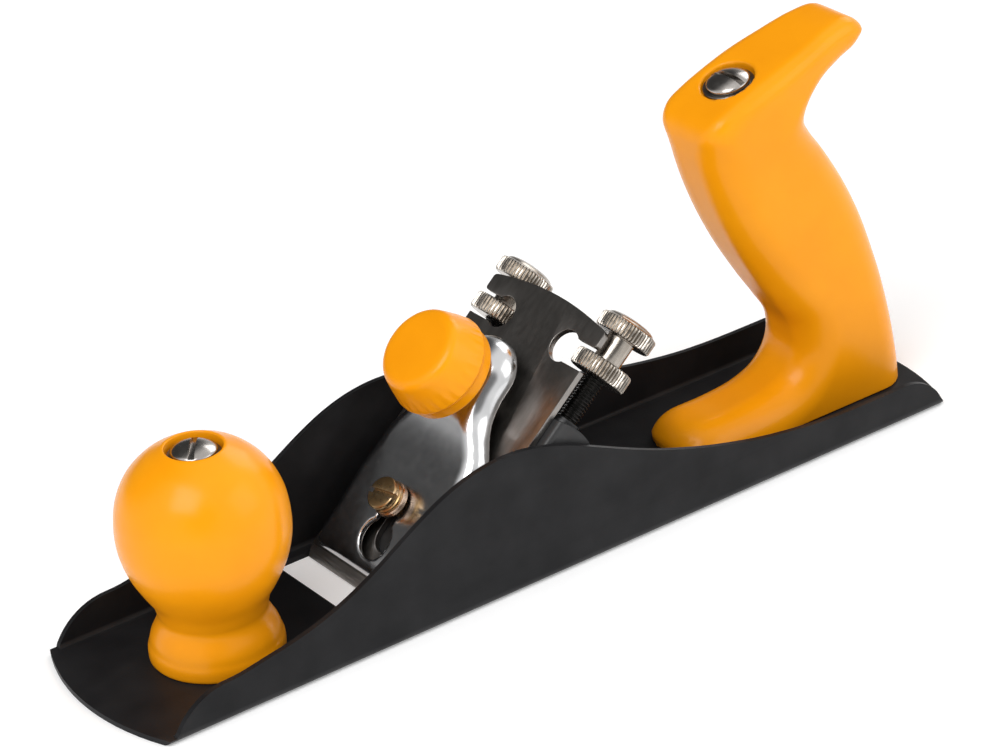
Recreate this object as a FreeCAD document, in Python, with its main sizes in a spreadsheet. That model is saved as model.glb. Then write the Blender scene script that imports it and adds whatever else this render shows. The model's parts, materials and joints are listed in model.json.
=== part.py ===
import FreeCAD, Part
import math
import os

import Sketcher
from FreeCAD import Placement, Rotation, Vector

# Pressed-steel smoothing plane, 235 mm long.
# Frame: +X from toe to heel, +Z up, origin at the centre of the sole's underside.
# Bed frame (iron, lever cap, frog, adjusters): local x runs up the bed, local z
# stands off it, and local z = 0 is the front face of the iron.

doc = FreeCAD.newDocument("HandPlane")
sheet = doc.addObject("Spreadsheet::Sheet", "Spec")
DIMS = [
    # channel
    ("sole_length", 235.0), ("sole_width", 52.0), ("sheet_gauge", 1.3), ("bend_outer", 2.3), ("bend_inner", 1.0),
    ("end_radius", 63.0), ("wall_high", 40.0), ("mouth_front", -53.3), ("mouth_rear", -42.2), ("mouth_half", 21.6),
    ("toe_round", 16.0), ("heel_round", 12.2),
    # bed frame
    ("bed_angle", 41.0), ("bed_origin", -47.0), ("iron_gauge", 1.6), ("iron_half", 21.25), ("edge_start", 2.07),
    ("bevel_run", 3.2), ("notch_low", 71.1), ("notch_high", 77.5), ("notch_radius", 4.1), ("notch_centre", 12.0),
    ("tab_top", 81.7), ("arch_radius", 95.3), ("iron_slot_low", 16.5), ("iron_slot_high", 36.0), ("iron_slot_half", 4.6),
    # frog
    ("frog_gap", 0.1), ("frog_gauge", 2.5), ("frog_half", 16.5), ("frog_top", 60.0), ("frog_foot_front", 17.0),
    ("frog_foot_rear", 10.5), ("ear_radius", 3.8), ("collar_radius", 3.4), ("collar_high", 0.6),
    ("flank_half", 24.0), ("flank_gauge", 1.5), ("flank_low", 14.1), ("flank_top", 59.0), ("flank_deep", 13.0), ("flank_bow", 19.2), ("flank_rear", 8.0),
    ("rivet_radius", 2.0), ("rivet_front", -30.5), ("rivet_rear", 20.2), ("rivet_side", 9.5), ("rivet_sink", 0.9),
    # adjusters
    ("stud_radius", 2.5), ("stud_side", 19.5), ("stud_drop", 7.0), ("stud_low", 55.5), ("stud_high", 81.0),
    ("nut_bore", 2.56), ("nut_bore_end", 84.1), ("flange_radius", 7.15), ("neck_radius", 3.4), ("lower_flange_low", 72.4),
    ("lower_flange_high", 76.7), ("upper_flange_low", 82.9), ("upper_flange_high", 86.8), ("crown_radius", 5.6), ("crown_high", 88.3),
    # lever cap
    ("cap_wall", 1.5), ("cap_front_half", 19.0), ("cap_waist_at", 36.3), ("cap_waist_half", 18.05), ("cap_neck_at", 54.1),
    ("cap_dome_at", 58.8), ("cap_dome_radius", 9.7), ("cap_round", 2.0), ("cap_clear", 0.15),
    ("key_round", 5.0), ("key_round_at", 14.0), ("key_slot_half", 3.0), ("key_slot_at", 23.4),
    ("cap_screw_radius", 2.5), ("cap_screw_at", 23.4), ("cap_head_radius", 4.1), ("cap_head_low", 7.3), ("cap_head_high", 10.3),
    ("cap_washer_radius", 4.45), ("cap_washer_low", 5.8),
    # clamp
    ("clamp_at", 54.6), ("clamp_screw_radius", 3.0), ("clamp_tip", 0.12), ("bush_bore", 3.06), ("bush_radius", 4.0),
    ("bush_flange", 6.0), ("knob_low", 13.3), ("knob_high", 26.3), ("knob_rim", 12.6), ("knob_face", 8.4),
    # front knob
    ("ball_x", -83.2), ("ball_bore", 2.8), ("recess_radius", 6.6), ("recess_floor", 50.8), ("ball_screw_radius", 2.5),
    ("washer_gauge", 0.8), ("screw_head_radius", 5.3), ("screw_head_high", 2.7), ("slot_width", 1.2), ("weld_nut_flats", 8.0),
    ("weld_nut_high", 4.5),
    # rear handle
    ("grip_half", 12.0), ("grip_round", 3.0), ("grip_screw_x", 69.9), ("grip_screw_z", 92.5), ("grip_tilt", 13.5),
    ("grip_recess", 6.6), ("grip_recess_depth", 2.0), ("pin_x", 54.0), ("pin_radius", 2.0), ("pin_high", 5.4),
]
WALL = [(-96.0, 10.0, 0.0), (-84.0, 11.6, 0.16), (-70.8, 14.6, 0.31), (-57.5, 20.2, 0.53), (-43.8, 28.2, 0.57),
        (-31.5, 33.9, 0.33), (-18.4, 36.0, 0.0), (-4.3, 33.4, -0.34), (4.2, 30.0, -0.45), (17.1, 24.2, -0.43),
        (28.1, 19.9, -0.34), (42.0, 15.6, -0.26), (58.5, 12.0, -0.16), (75.0, 10.1, -0.06), (100.0, 9.7, 0.0)]
GRIP = [(43.6, 1.3), (43.0, 3.8), (44.2, 6.3), (47.8, 8.3), (54.0, 9.1), (63.5, 9.2), (73.0, 10.2), (79.4, 12.8),
        (82.8, 17.8), (82.5, 24.3), (78.6, 31.0), (73.8, 38.3), (67.3, 49.3), (62.0, 60.5), (58.5, 70.2), (56.4, 78.9),
        (56.2, 83.6), (58.8, 87.4), (64.0, 90.1), (73.0, 93.5), (85.7, 97.3), (96.1, 100.1), (102.1, 100.3), (106.0, 96.7),
        (103.0, 92.9), (97.4, 90.8), (91.2, 87.9), (87.9, 84.3), (87.0, 80.2), (89.0, 75.7), (93.3, 69.3), (98.7, 60.1),
        (103.3, 50.2), (106.4, 41.4), (109.5, 31.1), (112.1, 19.7), (113.9, 8.0), (114.4, 1.3)]
CAP = [(5.6, 1.7, 0.62), (23.5, 4.9, 0.09), (43.2, 7.25, 0.22), (57.2, 11.1, 0.03), (68.5, 7.0, -0.75)]
BALL = [(12.5, 12.3), (13.4, 15.6), (15.6, 19.4), (18.0, 24.2), (19.5, 29.6), (19.75, 34.5), (18.9, 40.5), (16.4, 46.0),
        (12.2, 50.4), (6.6, 53.4)]
for tag, rows in (("wall", WALL), ("grip", GRIP), ("cap", CAP), ("ball", BALL)):
    for i, row in enumerate(rows):
        mark = "abcdefghijklmnopqrstuvwxyz"[i // 26] + "abcdefghijklmnopqrstuvwxyz"[i % 26]
        DIMS.append((tag + "_p_" + mark, row[0]))
        DIMS.append((tag + "_q_" + mark, row[1]))
VALUE = dict(DIMS)
for i, (word, number) in enumerate(DIMS, start=1):
    sheet.set("A%d" % i, word)
    sheet.set("B%d" % i, repr(number))
    sheet.setAlias("B%d" % i, word)
doc.recompute()


class Q:
    """A size that carries both its value and the spreadsheet expression behind it."""

    def __init__(self, value, text):
        self.v, self.e = value, text

    def __add__(self, other):
        other = q(other)
        return Q(self.v + other.v, "(%s + %s)" % (self.e, other.e))

    def __sub__(self, other):
        other = q(other)
        return Q(self.v - other.v, "(%s - %s)" % (self.e, other.e))

    def __mul__(self, other):
        other = q(other)
        return Q(self.v * other.v, "(%s * %s)" % (self.e, other.e))

    def __truediv__(self, other):
        other = q(other)
        return Q(self.v / other.v, "(%s / %s)" % (self.e, other.e))

    def __neg__(self):
        return Q(-self.v, "(0 - %s)" % self.e)

    def __radd__(self, other):
        return q(other) + self

    def __rsub__(self, other):
        return q(other) - self


def q(x):
    return x if isinstance(x, Q) else Q(float(x), repr(round(float(x), 6)))


def S(word):
    return Q(float(VALUE[word]), "Spec." + word)


def row(tag, i):
    mark = "abcdefghijklmnopqrstuvwxyz"[i // 26] + "abcdefghijklmnopqrstuvwxyz"[i % 26]
    return S(tag + "_p_" + mark), S(tag + "_q_" + mark)


ANGLE = S("bed_angle")
COS = Q(math.cos(math.radians(ANGLE.v)), "cos(Spec.bed_angle)")
SIN = Q(math.sin(math.radians(ANGLE.v)), "sin(Spec.bed_angle)")
BED = Placement(Vector(VALUE["bed_origin"], 0, 0), Rotation(Vector(0, 1, 0), -ANGLE.v))


def on_bed(obj):
    obj.Placement = BED
    obj.setExpression("Placement.Base.x", "Spec.bed_origin")
    obj.setExpression("Placement.Rotation.Angle", "Spec.bed_angle")
    obj.Placement.Rotation.Axis = Vector(0, -1, 0)
    obj.Placement = Placement(Vector(VALUE["bed_origin"], 0, 0), Rotation(Vector(0, -1, 0), ANGLE.v))
    return obj


def new_body(name):
    b = doc.addObject("PartDesign::Body", name + "_body")
    b.Label = name
    return b


def origin_plane(body, role):
    for f in body.Origin.OriginFeatures:
        if f.Role == role:
            return f
    raise RuntimeError("no plane " + role)


def new_sketch(body, name, role, offset=None):
    s = body.newObject("Sketcher::SketchObject", name)
    s.AttachmentSupport = [(origin_plane(body, role), "")]
    s.MapMode = "FlatFace"
    if offset is not None:
        offset = q(offset)
        s.AttachmentOffset = Placement(Vector(0, 0, offset.v), Rotation())
        s.setExpression("AttachmentOffset.Base.z", offset.e)
    return s


def fix_point(s, geo, pos, x, y):
    for kind, size, axis in (("DistanceX", x, -2), ("DistanceY", y, -1)):
        if abs(size.v) < 1e-9:
            s.addConstraint(Sketcher.Constraint("PointOnObject", geo, pos, axis))
        else:
            c = s.addConstraint(Sketcher.Constraint(kind, geo, pos, size.v))
            s.setExpression("Constraints[%d]" % c, size.e)


def draw(s, start, steps):
    """One closed outline. A step is ("L", x, y) or ("A", x, y, r[, big]): r > 0 turns left."""
    here = (q(start[0]), q(start[1]))
    first, made = here, []
    for step in steps:
        there = (q(step[1]), q(step[2]))
        a, b = Vector(here[0].v, here[1].v, 0), Vector(there[0].v, there[1].v, 0)
        if step[0] == "L":
            g = s.addGeometry(Part.LineSegment(a, b), False)
            made.append((g, 1, 2, here, None))
        else:
            r = q(step[3])
            big = len(step) > 4 and step[4]
            chord = b - a
            half = chord.Length / 2
            rise = math.sqrt(max(r.v * r.v - half * half, 0.0))
            left = Vector(-chord.y, chord.x, 0).normalize()
            sign = (1 if r.v > 0 else -1) * (-1 if big else 1)
            c = (a + b) * 0.5 + left * (rise * sign)
            a0, a1 = math.atan2(a.y - c.y, a.x - c.x), math.atan2(b.y - c.y, b.x - c.x)
            if r.v < 0:
                a0, a1 = a1, a0
            while a1 <= a0:
                a1 += 2 * math.pi
            g = s.addGeometry(Part.ArcOfCircle(Part.Circle(c, Vector(0, 0, 1), abs(r.v)), a0, a1), False)
            size = r if r.v > 0 else -r
            made.append((g, 1, 2, here, size) if r.v > 0 else (g, 2, 1, here, size))
        here = there
    assert abs(here[0].v - first[0].v) < 1e-6 and abs(here[1].v - first[1].v) < 1e-6, "open outline"
    n = len(made)
    for i in range(n):
        g, p0, p1, _, _ = made[i]
        k, k0, _, _, _ = made[(i + 1) % n]
        s.addConstraint(Sketcher.Constraint("Coincident", g, p1, k, k0))
    for g, p0, p1, at, size in made:
        fix_point(s, g, p0, at[0], at[1])
    for g, p0, p1, at, size in made:
        if size is not None:
            c = s.addConstraint(Sketcher.Constraint("Radius", g, size.v))
            s.setExpression("Constraints[%d]" % c, size.e)


def ring(s, x, y, r):
    x, y, r = q(x), q(y), q(r)
    g = s.addGeometry(Part.Circle(Vector(x.v, y.v, 0), Vector(0, 0, 1), r.v), False)
    fix_point(s, g, 3, x, y)
    c = s.addConstraint(Sketcher.Constraint("Radius", g, r.v))
    s.setExpression("Constraints[%d]" % c, r.e)


def biarcs(points, slopes):
    """Tangent arcs through points (x, y sizes) with the given unit directions."""
    out = []
    for i in range(len(points) - 1):
        (x0, y0), (x1, y1) = points[i], points[i + 1]
        p0, p1 = Vector(x0.v, y0.v, 0), Vector(x1.v, y1.v, 0)
        t0, t1 = Vector(*slopes[i], 0).normalize(), Vector(*slopes[i + 1], 0).normalize()
        v, tt = p1 - p0, t0 + t1
        k = 2 * (1 - t0.dot(t1))
        if k < 1e-9:
            d = v.dot(v) / (4 * v.dot(t1))
        else:
            d = (-v.dot(tt) + math.sqrt(v.dot(tt) ** 2 + k * v.dot(v))) / k
        j = (p0 + p1 + (t0 - t1) * d) * 0.5
        n0, n1 = Vector(-t0.y, t0.x, 0), Vector(-t1.y, t1.x, 0)
        for a, n, w, end in ((p0, n0, j - p0, (q(j.x), q(j.y))), (p1, n1, j - p1, (x1, y1))):
            side = n.dot(w)
            if w.Length < 1e-6:
                continue
            r = w.dot(w) / (2 * side) if abs(side) > 1e-9 else 1e9
            if abs(r) > 3000:
                out.append(("L", end[0], end[1]))
            else:
                out.append(("A", end[0], end[1], r))
    return out


def chords(points):
    """Directions for biarcs: each one follows the neighbours either side."""
    out = []
    n = len(points)
    for i in range(n):
        a = points[max(i - 1, 0)]
        b = points[min(i + 1, n - 1)]
        m = points[i]
        d0 = Vector(m[0].v - a[0].v, m[1].v - a[1].v, 0)
        d1 = Vector(b[0].v - m[0].v, b[1].v - m[1].v, 0)
        if i == 0:
            d = d1
        elif i == n - 1:
            d = d0
        else:
            d = d0 * (1 / d0.Length) * d1.Length + d1 * (1 / d1.Length) * d0.Length
        out.append((d.x, d.y))
    return out


def bind(obj, **sizes):
    for name, size in sizes.items():
        size = q(size)
        setattr(obj, name, size.v)
        obj.setExpression(name, size.e)
    return obj


def both_sides(f):
    if hasattr(f, "SideType"):
        f.SideType = "Symmetric"
    else:
        f.Midplane = True


def pad(body, s, length, mid=False, name="Pad"):
    f = body.newObject("PartDesign::Pad", name)
    f.Profile = s
    bind(f, Length=length)
    if mid:
        both_sides(f)
    doc.recompute()
    return f


def pocket_all(body, s, name="Pocket"):
    before = body.Shape.Volume
    f = body.newObject("PartDesign::Pocket", name)
    f.Profile = s
    f.Type = "ThroughAll"
    both_sides(f)
    doc.recompute()
    assert body.Shape.Volume < before - 1e-3, name + " cut nothing"
    return f


def revolve(body, s, name="Revolution"):
    f = body.newObject("PartDesign::Revolution", name)
    f.Profile = s
    f.ReferenceAxis = (s, ["V_Axis"])
    f.Angle = 360
    doc.recompute()
    return f


def sharp(shape, keep, least=20):
    names = []
    for i, e in enumerate(shape.Edges, start=1):
        mid = e.valueAt((e.FirstParameter + e.LastParameter) / 2)
        if not keep(mid, e):
            continue
        faces = shape.ancestorsOfType(e, Part.Face)
        if len(faces) != 2:
            continue
        normals = []
        for f in faces:
            u, v = f.Surface.parameter(mid)
            normals.append(f.normalAt(u, v))
        if math.degrees(normals[0].getAngle(normals[1])) > least:
            names.append("Edge%d" % i)
    return names


def round_edges(body, radius, keep, kind="PartDesign::Fillet", least=20):
    tip = body.Tip
    names = sharp(tip.Shape, keep, least)
    assert names, "no edges to round on " + body.Label
    f = body.newObject(kind, "Round")
    f.Base = (tip, names)
    radius = q(radius)
    if kind.endswith("Fillet"):
        bind(f, Radius=radius)
    else:
        bind(f, Size=radius)
    doc.recompute()
    if "Invalid" in f.State or f.Shape.isNull() or not f.Shape.isValid():
        print("edge treatment left out on", body.Label)
        body.removeObject(f)
        doc.removeObject(f.Name)
        body.Tip = tip
        doc.recompute()
        return None
    return f


NODES = []


def node(obj, name):
    obj.Label = name
    NODES.append(obj)
    return obj


def primitive(kind, name, **sizes):
    o = doc.addObject(kind, name)
    bind(o, **sizes)
    return o


def shift(obj, x=0, y=0, z=0):
    """Place obj at (x, y, z) in the channel's frame, each bound to the sheet."""
    x, y, z = q(x), q(y), q(z)
    obj.Placement.Base = Vector(x.v, y.v, z.v)
    for axis, size in zip("xyz", (x, y, z)):
        obj.setExpression("Placement.Base." + axis, size.e)
    return obj


def bed_shift(obj, s=0, y=0, z=0):
    """Place obj at bed coordinates (s, y, z), turned with the bed."""
    s, y, z = q(s), q(y), q(z)
    x, zz = S("bed_origin") + s * COS - z * SIN, s * SIN + z * COS
    obj.Placement = Placement(Vector(x.v, y.v, zz.v), Rotation(Vector(0, -1, 0), ANGLE.v))
    for axis, size in zip("xyz", (x, y, zz)):
        obj.setExpression("Placement.Base." + axis, size.e)
    obj.setExpression("Placement.Rotation.Angle", "Spec.bed_angle")
    return obj


def combine(kind, name, *objs):
    f = doc.addObject(kind, name)
    if kind in ("Part::Cut", "Part::Fuse", "Part::Common"):
        f.Base, f.Tool = objs
    else:
        f.Shapes = list(objs)
    doc.recompute()
    return f


T = S("sheet_gauge")
W2 = S("sole_width") / 2
L2 = S("sole_length") / 2

# ---- sole and side walls: one pressed channel ------------------------------
sole = new_body("sole_body")
s = new_sketch(sole, "channel_section", "YZ_Plane")
RO, RI, H = S("bend_outer"), S("bend_inner"), S("wall_high")
IN = W2 - T
draw(s, (-W2, H), [
    ("L", -W2, RO), ("A", RO - W2, 0, RO), ("L", W2 - RO, 0), ("A", W2, RO, RO), ("L", W2, H), ("L", IN, H),
    ("L", IN, T + RI), ("A", IN - RI, T, -RI), ("L", RI - IN, T), ("A", -IN, T + RI, -RI), ("L", -IN, H), ("L", -W2, H)])
pad(sole, s, S("sole_length"), mid=True, name="channel")
# wall tops: low at the ends, one hump over the frog, a quarter round at each end
pts = [row("wall", i) for i in range(len(WALL))]
dirs = [(1.0, w[2]) for w in WALL]
RT, RH = S("toe_round"), S("heel_round")
toe_x = pts[0][0] - Q(math.sqrt(RT.v ** 2 - (RT.v - pts[0][1].v + T.v) ** 2),
                      "sqrt(%s * %s - (%s - %s + %s) * (%s - %s + %s))" % (RT.e, RT.e, RT.e, pts[0][1].e, T.e, RT.e, pts[0][1].e, T.e))
heel_x = pts[-1][0] + Q(math.sqrt(RH.v ** 2 - (RH.v - pts[-1][1].v + T.v) ** 2),
                        "sqrt(%s * %s - (%s - %s + %s) * (%s - %s + %s))" % (RH.e, RH.e, RH.e, pts[-1][1].e, T.e, RH.e, pts[-1][1].e, T.e))
s = new_sketch(sole, "wall_tops", "XZ_Plane")
far = L2 + 10
draw(s, (-far, T), [("L", toe_x, T), ("A", pts[0][0], pts[0][1], -RT)] + biarcs(pts, dirs)
     + [("A", heel_x, T, -RH), ("L", far, T), ("L", far, H + 5), ("L", -far, H + 5), ("L", -far, T)])
pocket_all(sole, s, "wall_top_cut")
# toe and heel are shallow arcs in plan
RE = S("end_radius")
end_y = W2 + 4
run = Q(RE.v - math.sqrt(RE.v ** 2 - end_y.v ** 2), "(%s - sqrt(%s * %s - %s * %s))" % (RE.e, RE.e, RE.e, end_y.e, end_y.e))
s = new_sketch(sole, "end_arcs", "XY_Plane")
draw(s, (run - L2, -end_y), [("A", run - L2, end_y, -RE), ("L", -far, end_y), ("L", -far, -end_y), ("L", run - L2, -end_y)])
draw(s, (L2 - run, end_y), [("A", L2 - run, -end_y, -RE), ("L", far, -end_y), ("L", far, end_y), ("L", L2 - run, end_y)])
pocket_all(sole, s, "end_cut")
s = new_sketch(sole, "openings", "XY_Plane")
MF, MR, MH = S("mouth_front"), S("mouth_rear"), S("mouth_half")
draw(s, (MF, -MH), [("L", MR, -MH), ("L", MR, MH), ("L", MF, MH), ("L", MF, -MH)])
RX = [S("rivet_front"), S("rivet_rear")]
RY, RR = S("rivet_side"), S("rivet_radius")
for x in RX:
    ring(s, x, RY, RR)
    ring(s, x, -RY, RR)
ring(s, S("pin_x"), 0, S("pin_radius"))
pocket_all(sole, s, "openings_cut")
round_edges(sole, S("rivet_sink"),
            lambda m, e: abs(m.z) < 1e-6 and e.Curve.TypeId == "Part::GeomCircle" and abs(e.Curve.Radius - RR.v) < 1e-3,
            kind="PartDesign::Chamfer")
node(sole, "sole_body")

# ---- frog: strip folded into a bed, a leg and two feet ---------------------
frog = new_body("frog")
on_bed(frog)
G, GAP, TI = S("frog_gauge"), S("frog_gap"), S("iron_gauge")
TOP = -(TI + GAP)
BOT = TOP - G
FT = S("frog_top")


def level(z, h):
    """Bed x where the line local z = h meets the height z."""
    return (q(z) - h * COS) / SIN


def down(z, x):
    """Local z where the line bed x = x meets the height z."""
    return (q(z) - x * SIN) / COS


A = (level(T, TOP), TOP)
FF, FR = S("frog_foot_front"), S("frog_foot_rear")
F1 = (A[0] + FF * COS, A[1] - FF * SIN)
F2 = (F1[0] + G * SIN, F1[1] + G * COS)
Gp = (level(T + G, BOT), BOT)
K0 = (FT - G, BOT)
P1 = (FT - G, down(T + G, FT - G))
P2 = (P1[0] - FR * COS, P1[1] + FR * SIN)
P3 = (P2[0] - G * SIN, P2[1] - G * COS)
M = (FT, down(T, FT))
s = new_sketch(frog, "fold", "XZ_Plane")
draw(s, A, [("L",) + p for p in (F1, F2, Gp, K0, P1, P2, P3, M, (FT, TOP), A)])
pad(frog, s, S("frog_half") * 2, mid=True, name="strip")
round_edges(frog, 1.6, lambda m, e: abs(m.y) < 1e-3 and (abs(m.x - FT.v) < 0.01 and abs(m.z - TOP.v) < 0.01
                                                       or abs(m.x - M[0].v) < 0.01 and abs(m.z - M[1].v) < 0.01))
# wide bed plate with a side wall folded down at each edge
FW, FG, FL, FU = S("flank_half"), S("flank_gauge"), S("flank_low"), S("flank_top")


def in_bed(x, z):
    x = q(x) - S("bed_origin")
    return x * COS + q(z) * SIN, q(z) * COS - x * SIN


s = new_sketch(frog, "flank_bed", "XZ_Plane")
draw(s, (FL, TOP - FG), [("L", FU, TOP - FG), ("L", FU, TOP), ("L", FL, TOP), ("L", FL, TOP - FG)])
pad(frog, s, FW * 2, mid=True, name="flank_bed_pad")
heel = in_bed(S("flank_rear"), T + 0.2)
front = (FL, (T + 0.2 - FL * SIN) / COS)
for word, off in (("right", FW - FG), ("left", -FW)):
    s = new_sketch(frog, "flank_" + word, "XZ_Plane", off)
    draw(s, (FL, TOP), [("L", FU, TOP), ("A", FU + 0.2, -S("flank_deep"), -S("flank_bow")), ("L",) + heel, ("L",) + front, ("L", FL, TOP)])
    pad(frog, s, FG, name="flank_pad_" + word)
for r in (1.4, 1.0, 0.6):
    if round_edges(frog, r, lambda m, e: abs(abs(m.y) - FW.v) < 0.01 and abs(m.z - TOP.v) < 0.01):
        break
SX, SZ, SR = S("stud_side"), -S("stud_drop"), S("stud_radius")
ER = S("ear_radius")
s = new_sketch(frog, "ears", "YZ_Plane", FT - G)
for side in (1, -1):
    k = (lambda v: v) if side > 0 else (lambda v: -v)
    r = ER if side > 0 else -ER
    inner = S("frog_half") - 3
    draw(s, (k(inner), SZ - ER), [("L", k(SX), SZ - ER), ("A", k(SX + ER), SZ, r), ("A", k(SX), SZ + ER, r),
                                  ("L", k(inner), SZ + ER), ("L", k(inner), SZ - ER)])
pad(frog, s, G, name="ears_pad")
s = new_sketch(frog, "collars", "YZ_Plane", FT - 0.2)
for side in (1, -1):
    ring(s, SX if side > 0 else -SX, SZ, S("collar_radius"))
pad(frog, s, S("collar_high") + 0.2, name="collars_pad")
s = new_sketch(frog, "stud_holes", "YZ_Plane")
for side in (1, -1):
    ring(s, SX if side > 0 else -SX, SZ, SR)
pocket_all(frog, s, "stud_holes_cut")
s = new_sketch(frog, "cap_screw_hole", "XY_Plane", -10)
ring(s, S("cap_screw_at"), 0, S("cap_screw_radius"))
f = frog.newObject("PartDesign::Pocket", "cap_screw_hole_cut")
f.Profile = s
bind(f, Length=12)
f.Reversed = True
doc.recompute()
# rivet holes, drilled square to the sole through both feet
node(frog, "frog")
drills = []
for x in RX:
    for y in (RY, -RY):
        c = primitive("Part::Cylinder", "frog_drill", Radius=RR, Height=8)
        shift(c, x, y, -1)
        drills.append(c)
drill = combine("Part::MultiFuse", "frog_drills", *drills)
NODES.pop()
frog_cut = combine("Part::Cut", "frog_part", frog, drill)
frog.Label = "frog_blank"
node(frog_cut, "frog")

# rivets: flush cone below, low round head on the foot
rivets = []
for x in RX:
    for y in (RY, -RY):
        sink = S("rivet_sink")
        a = shift(primitive("Part::Cylinder", "rivet_shank", Radius=RR, Height=T + G), x, y, 0)
        b = shift(primitive("Part::Cone", "rivet_foot", Radius1=RR + sink, Radius2=RR, Height=sink), x, y, 0)
        c = shift(primitive("Part::Cylinder", "rivet_head", Radius=RR + 1.3, Height=0.7), x, y, T + G)
        d = shift(primitive("Part::Cone", "rivet_crown", Radius1=RR + 1.3, Radius2=RR, Height=0.6), x, y, T + G + 0.7)
        rivets.append(combine("Part::MultiFuse", "rivet", a, b, c, d))
node(combine("Part::Compound", "rivet_group", *rivets) if False else combine("Part::MultiFuse", "rivet_group", *rivets), "frog_rivets")

# ---- adjuster studs and knurled nuts ---------------------------------------
for side, word in ((-1, "right"), (1, "left")):
    y = SX if side > 0 else -SX
    b = on_bed(new_body("adjuster_stud_" + word))
    s = new_sketch(b, "stud_circle_" + word, "YZ_Plane", S("stud_low"))
    ring(s, y, SZ, SR)
    pad(b, s, S("stud_high") - S("stud_low"), name="stud_" + word)
    round_edges(b, 0.5, lambda m, e: True, kind="PartDesign::Chamfer")
    node(b, "adjuster_stud_" + word)

    b = new_body("adjuster_nut_" + word)
    n = b
    # profile turned about the body's own z axis, then laid along the bed
    s = new_sketch(b, "spool_profile_" + word, "XZ_Plane")
    R1, RN, RB = S("flange_radius"), S("neck_radius"), S("nut_bore")
    z1, z2, z3, z4, z5 = [S(w) - S("lower_flange_low") for w in ("lower_flange_low", "lower_flange_high", "upper_flange_low",
                                                              "upper_flange_high", "crown_high")]
    zb = S("nut_bore_end") - S("lower_flange_low")
    c = q(0.6)
    draw(s, (RB, 0), [("L", R1 - c, 0), ("L", R1, c), ("L", R1, z2 - c), ("L", R1 - c, z2), ("L", RN, z2), ("L", RN, z3),
                      ("L", R1 - c, z3), ("L", R1, z3 + c), ("L", R1, z4 - c), ("L", S("crown_radius"), z4 + 0.35),
                      ("L", 2.6, z5), ("L", 0, z5), ("L", 0, zb), ("L", RB, zb), ("L", RB, 0)])
    revolve(b, s, "spool_" + word)
    s0, h0 = S("lower_flange_low"), SZ
    x, zz = S("bed_origin") + s0 * COS - h0 * SIN, s0 * SIN + h0 * COS
    b.Placement = Placement(Vector(x.v, y.v, zz.v), Rotation(Vector(0, 1, 0), 90 - ANGLE.v))
    for axis, size in zip("xyz", (x, y, zz)):
        b.setExpression("Placement.Base." + axis, size.e)
    b.setExpression("Placement.Rotation.Angle", "90 - Spec.bed_angle")
    node(b, "adjuster_nut_" + word)

# ---- plane iron ------------------------------------------------------------
iron = on_bed(new_body("plane_iron"))
s = new_sketch(iron, "iron_plan", "XY_Plane", -TI)
IW, NL, NH, NR, NC, TT, AR, S0 = [S(w) for w in ("iron_half", "notch_low", "notch_high", "notch_radius", "notch_centre",
                                               "tab_top", "arch_radius", "edge_start")]
NX = 74.5
lo = NC + Q(math.sqrt(NR.v ** 2 - (NX - NL.v) ** 2), "sqrt(%s * %s - (74.5 - %s) * (74.5 - %s))" % (NR.e, NR.e, NL.e, NL.e))
hi = NC + Q(math.sqrt(NR.v ** 2 - (NH.v - NX) ** 2), "sqrt(%s * %s - (%s - 74.5) * (%s - 74.5))" % (NR.e, NR.e, NH.e, NH.e))
draw(s, (S0, -IW), [("L", NL, -IW), ("L", NL, -lo), ("A", NH, -hi, -NR, True), ("L", NH, -IW), ("L", TT, -IW),
                    ("A", TT, IW, AR), ("L", NH, IW), ("L", NH, hi), ("A", NL, lo, -NR, True), ("L", NL, IW), ("L", S0, IW),
                    ("L", S0, -IW)])
SH, S1, S2 = S("iron_slot_half"), S("iron_slot_low"), S("iron_slot_high")
draw(s, (S1, -SH), [("L", S2, -SH), ("A", S2 + SH, 0, SH), ("A", S2, SH, SH), ("L", S1, SH), ("A", S1 - SH, 0, SH),
                    ("A", S1, -SH, SH)])
pad(iron, s, TI, name="iron_plate")
s = new_sketch(iron, "bevel", "XZ_Plane")
BV = S("bevel_run")
draw(s, (S0, -TI), [("L", S0 + BV, 0), ("L", S0 + BV, 1), ("L", S0 - 1, 1), ("L", S0 - 1, -TI), ("L", S0, -TI)])
pocket_all(iron, s, "bevel_cut")
round_edges(iron, 0.9, lambda m, e: m.x > NH.v - 0.1 and abs(abs(m.y) - IW.v) < 1e-3 and abs(m.z + TI.v / 2) < 1e-3)
node(iron, "plane_iron")

# ---- lever cap: pressed dish, open underneath ------------------------------
CW, CR = S("cap_wall"), S("cap_dome_radius")


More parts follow.
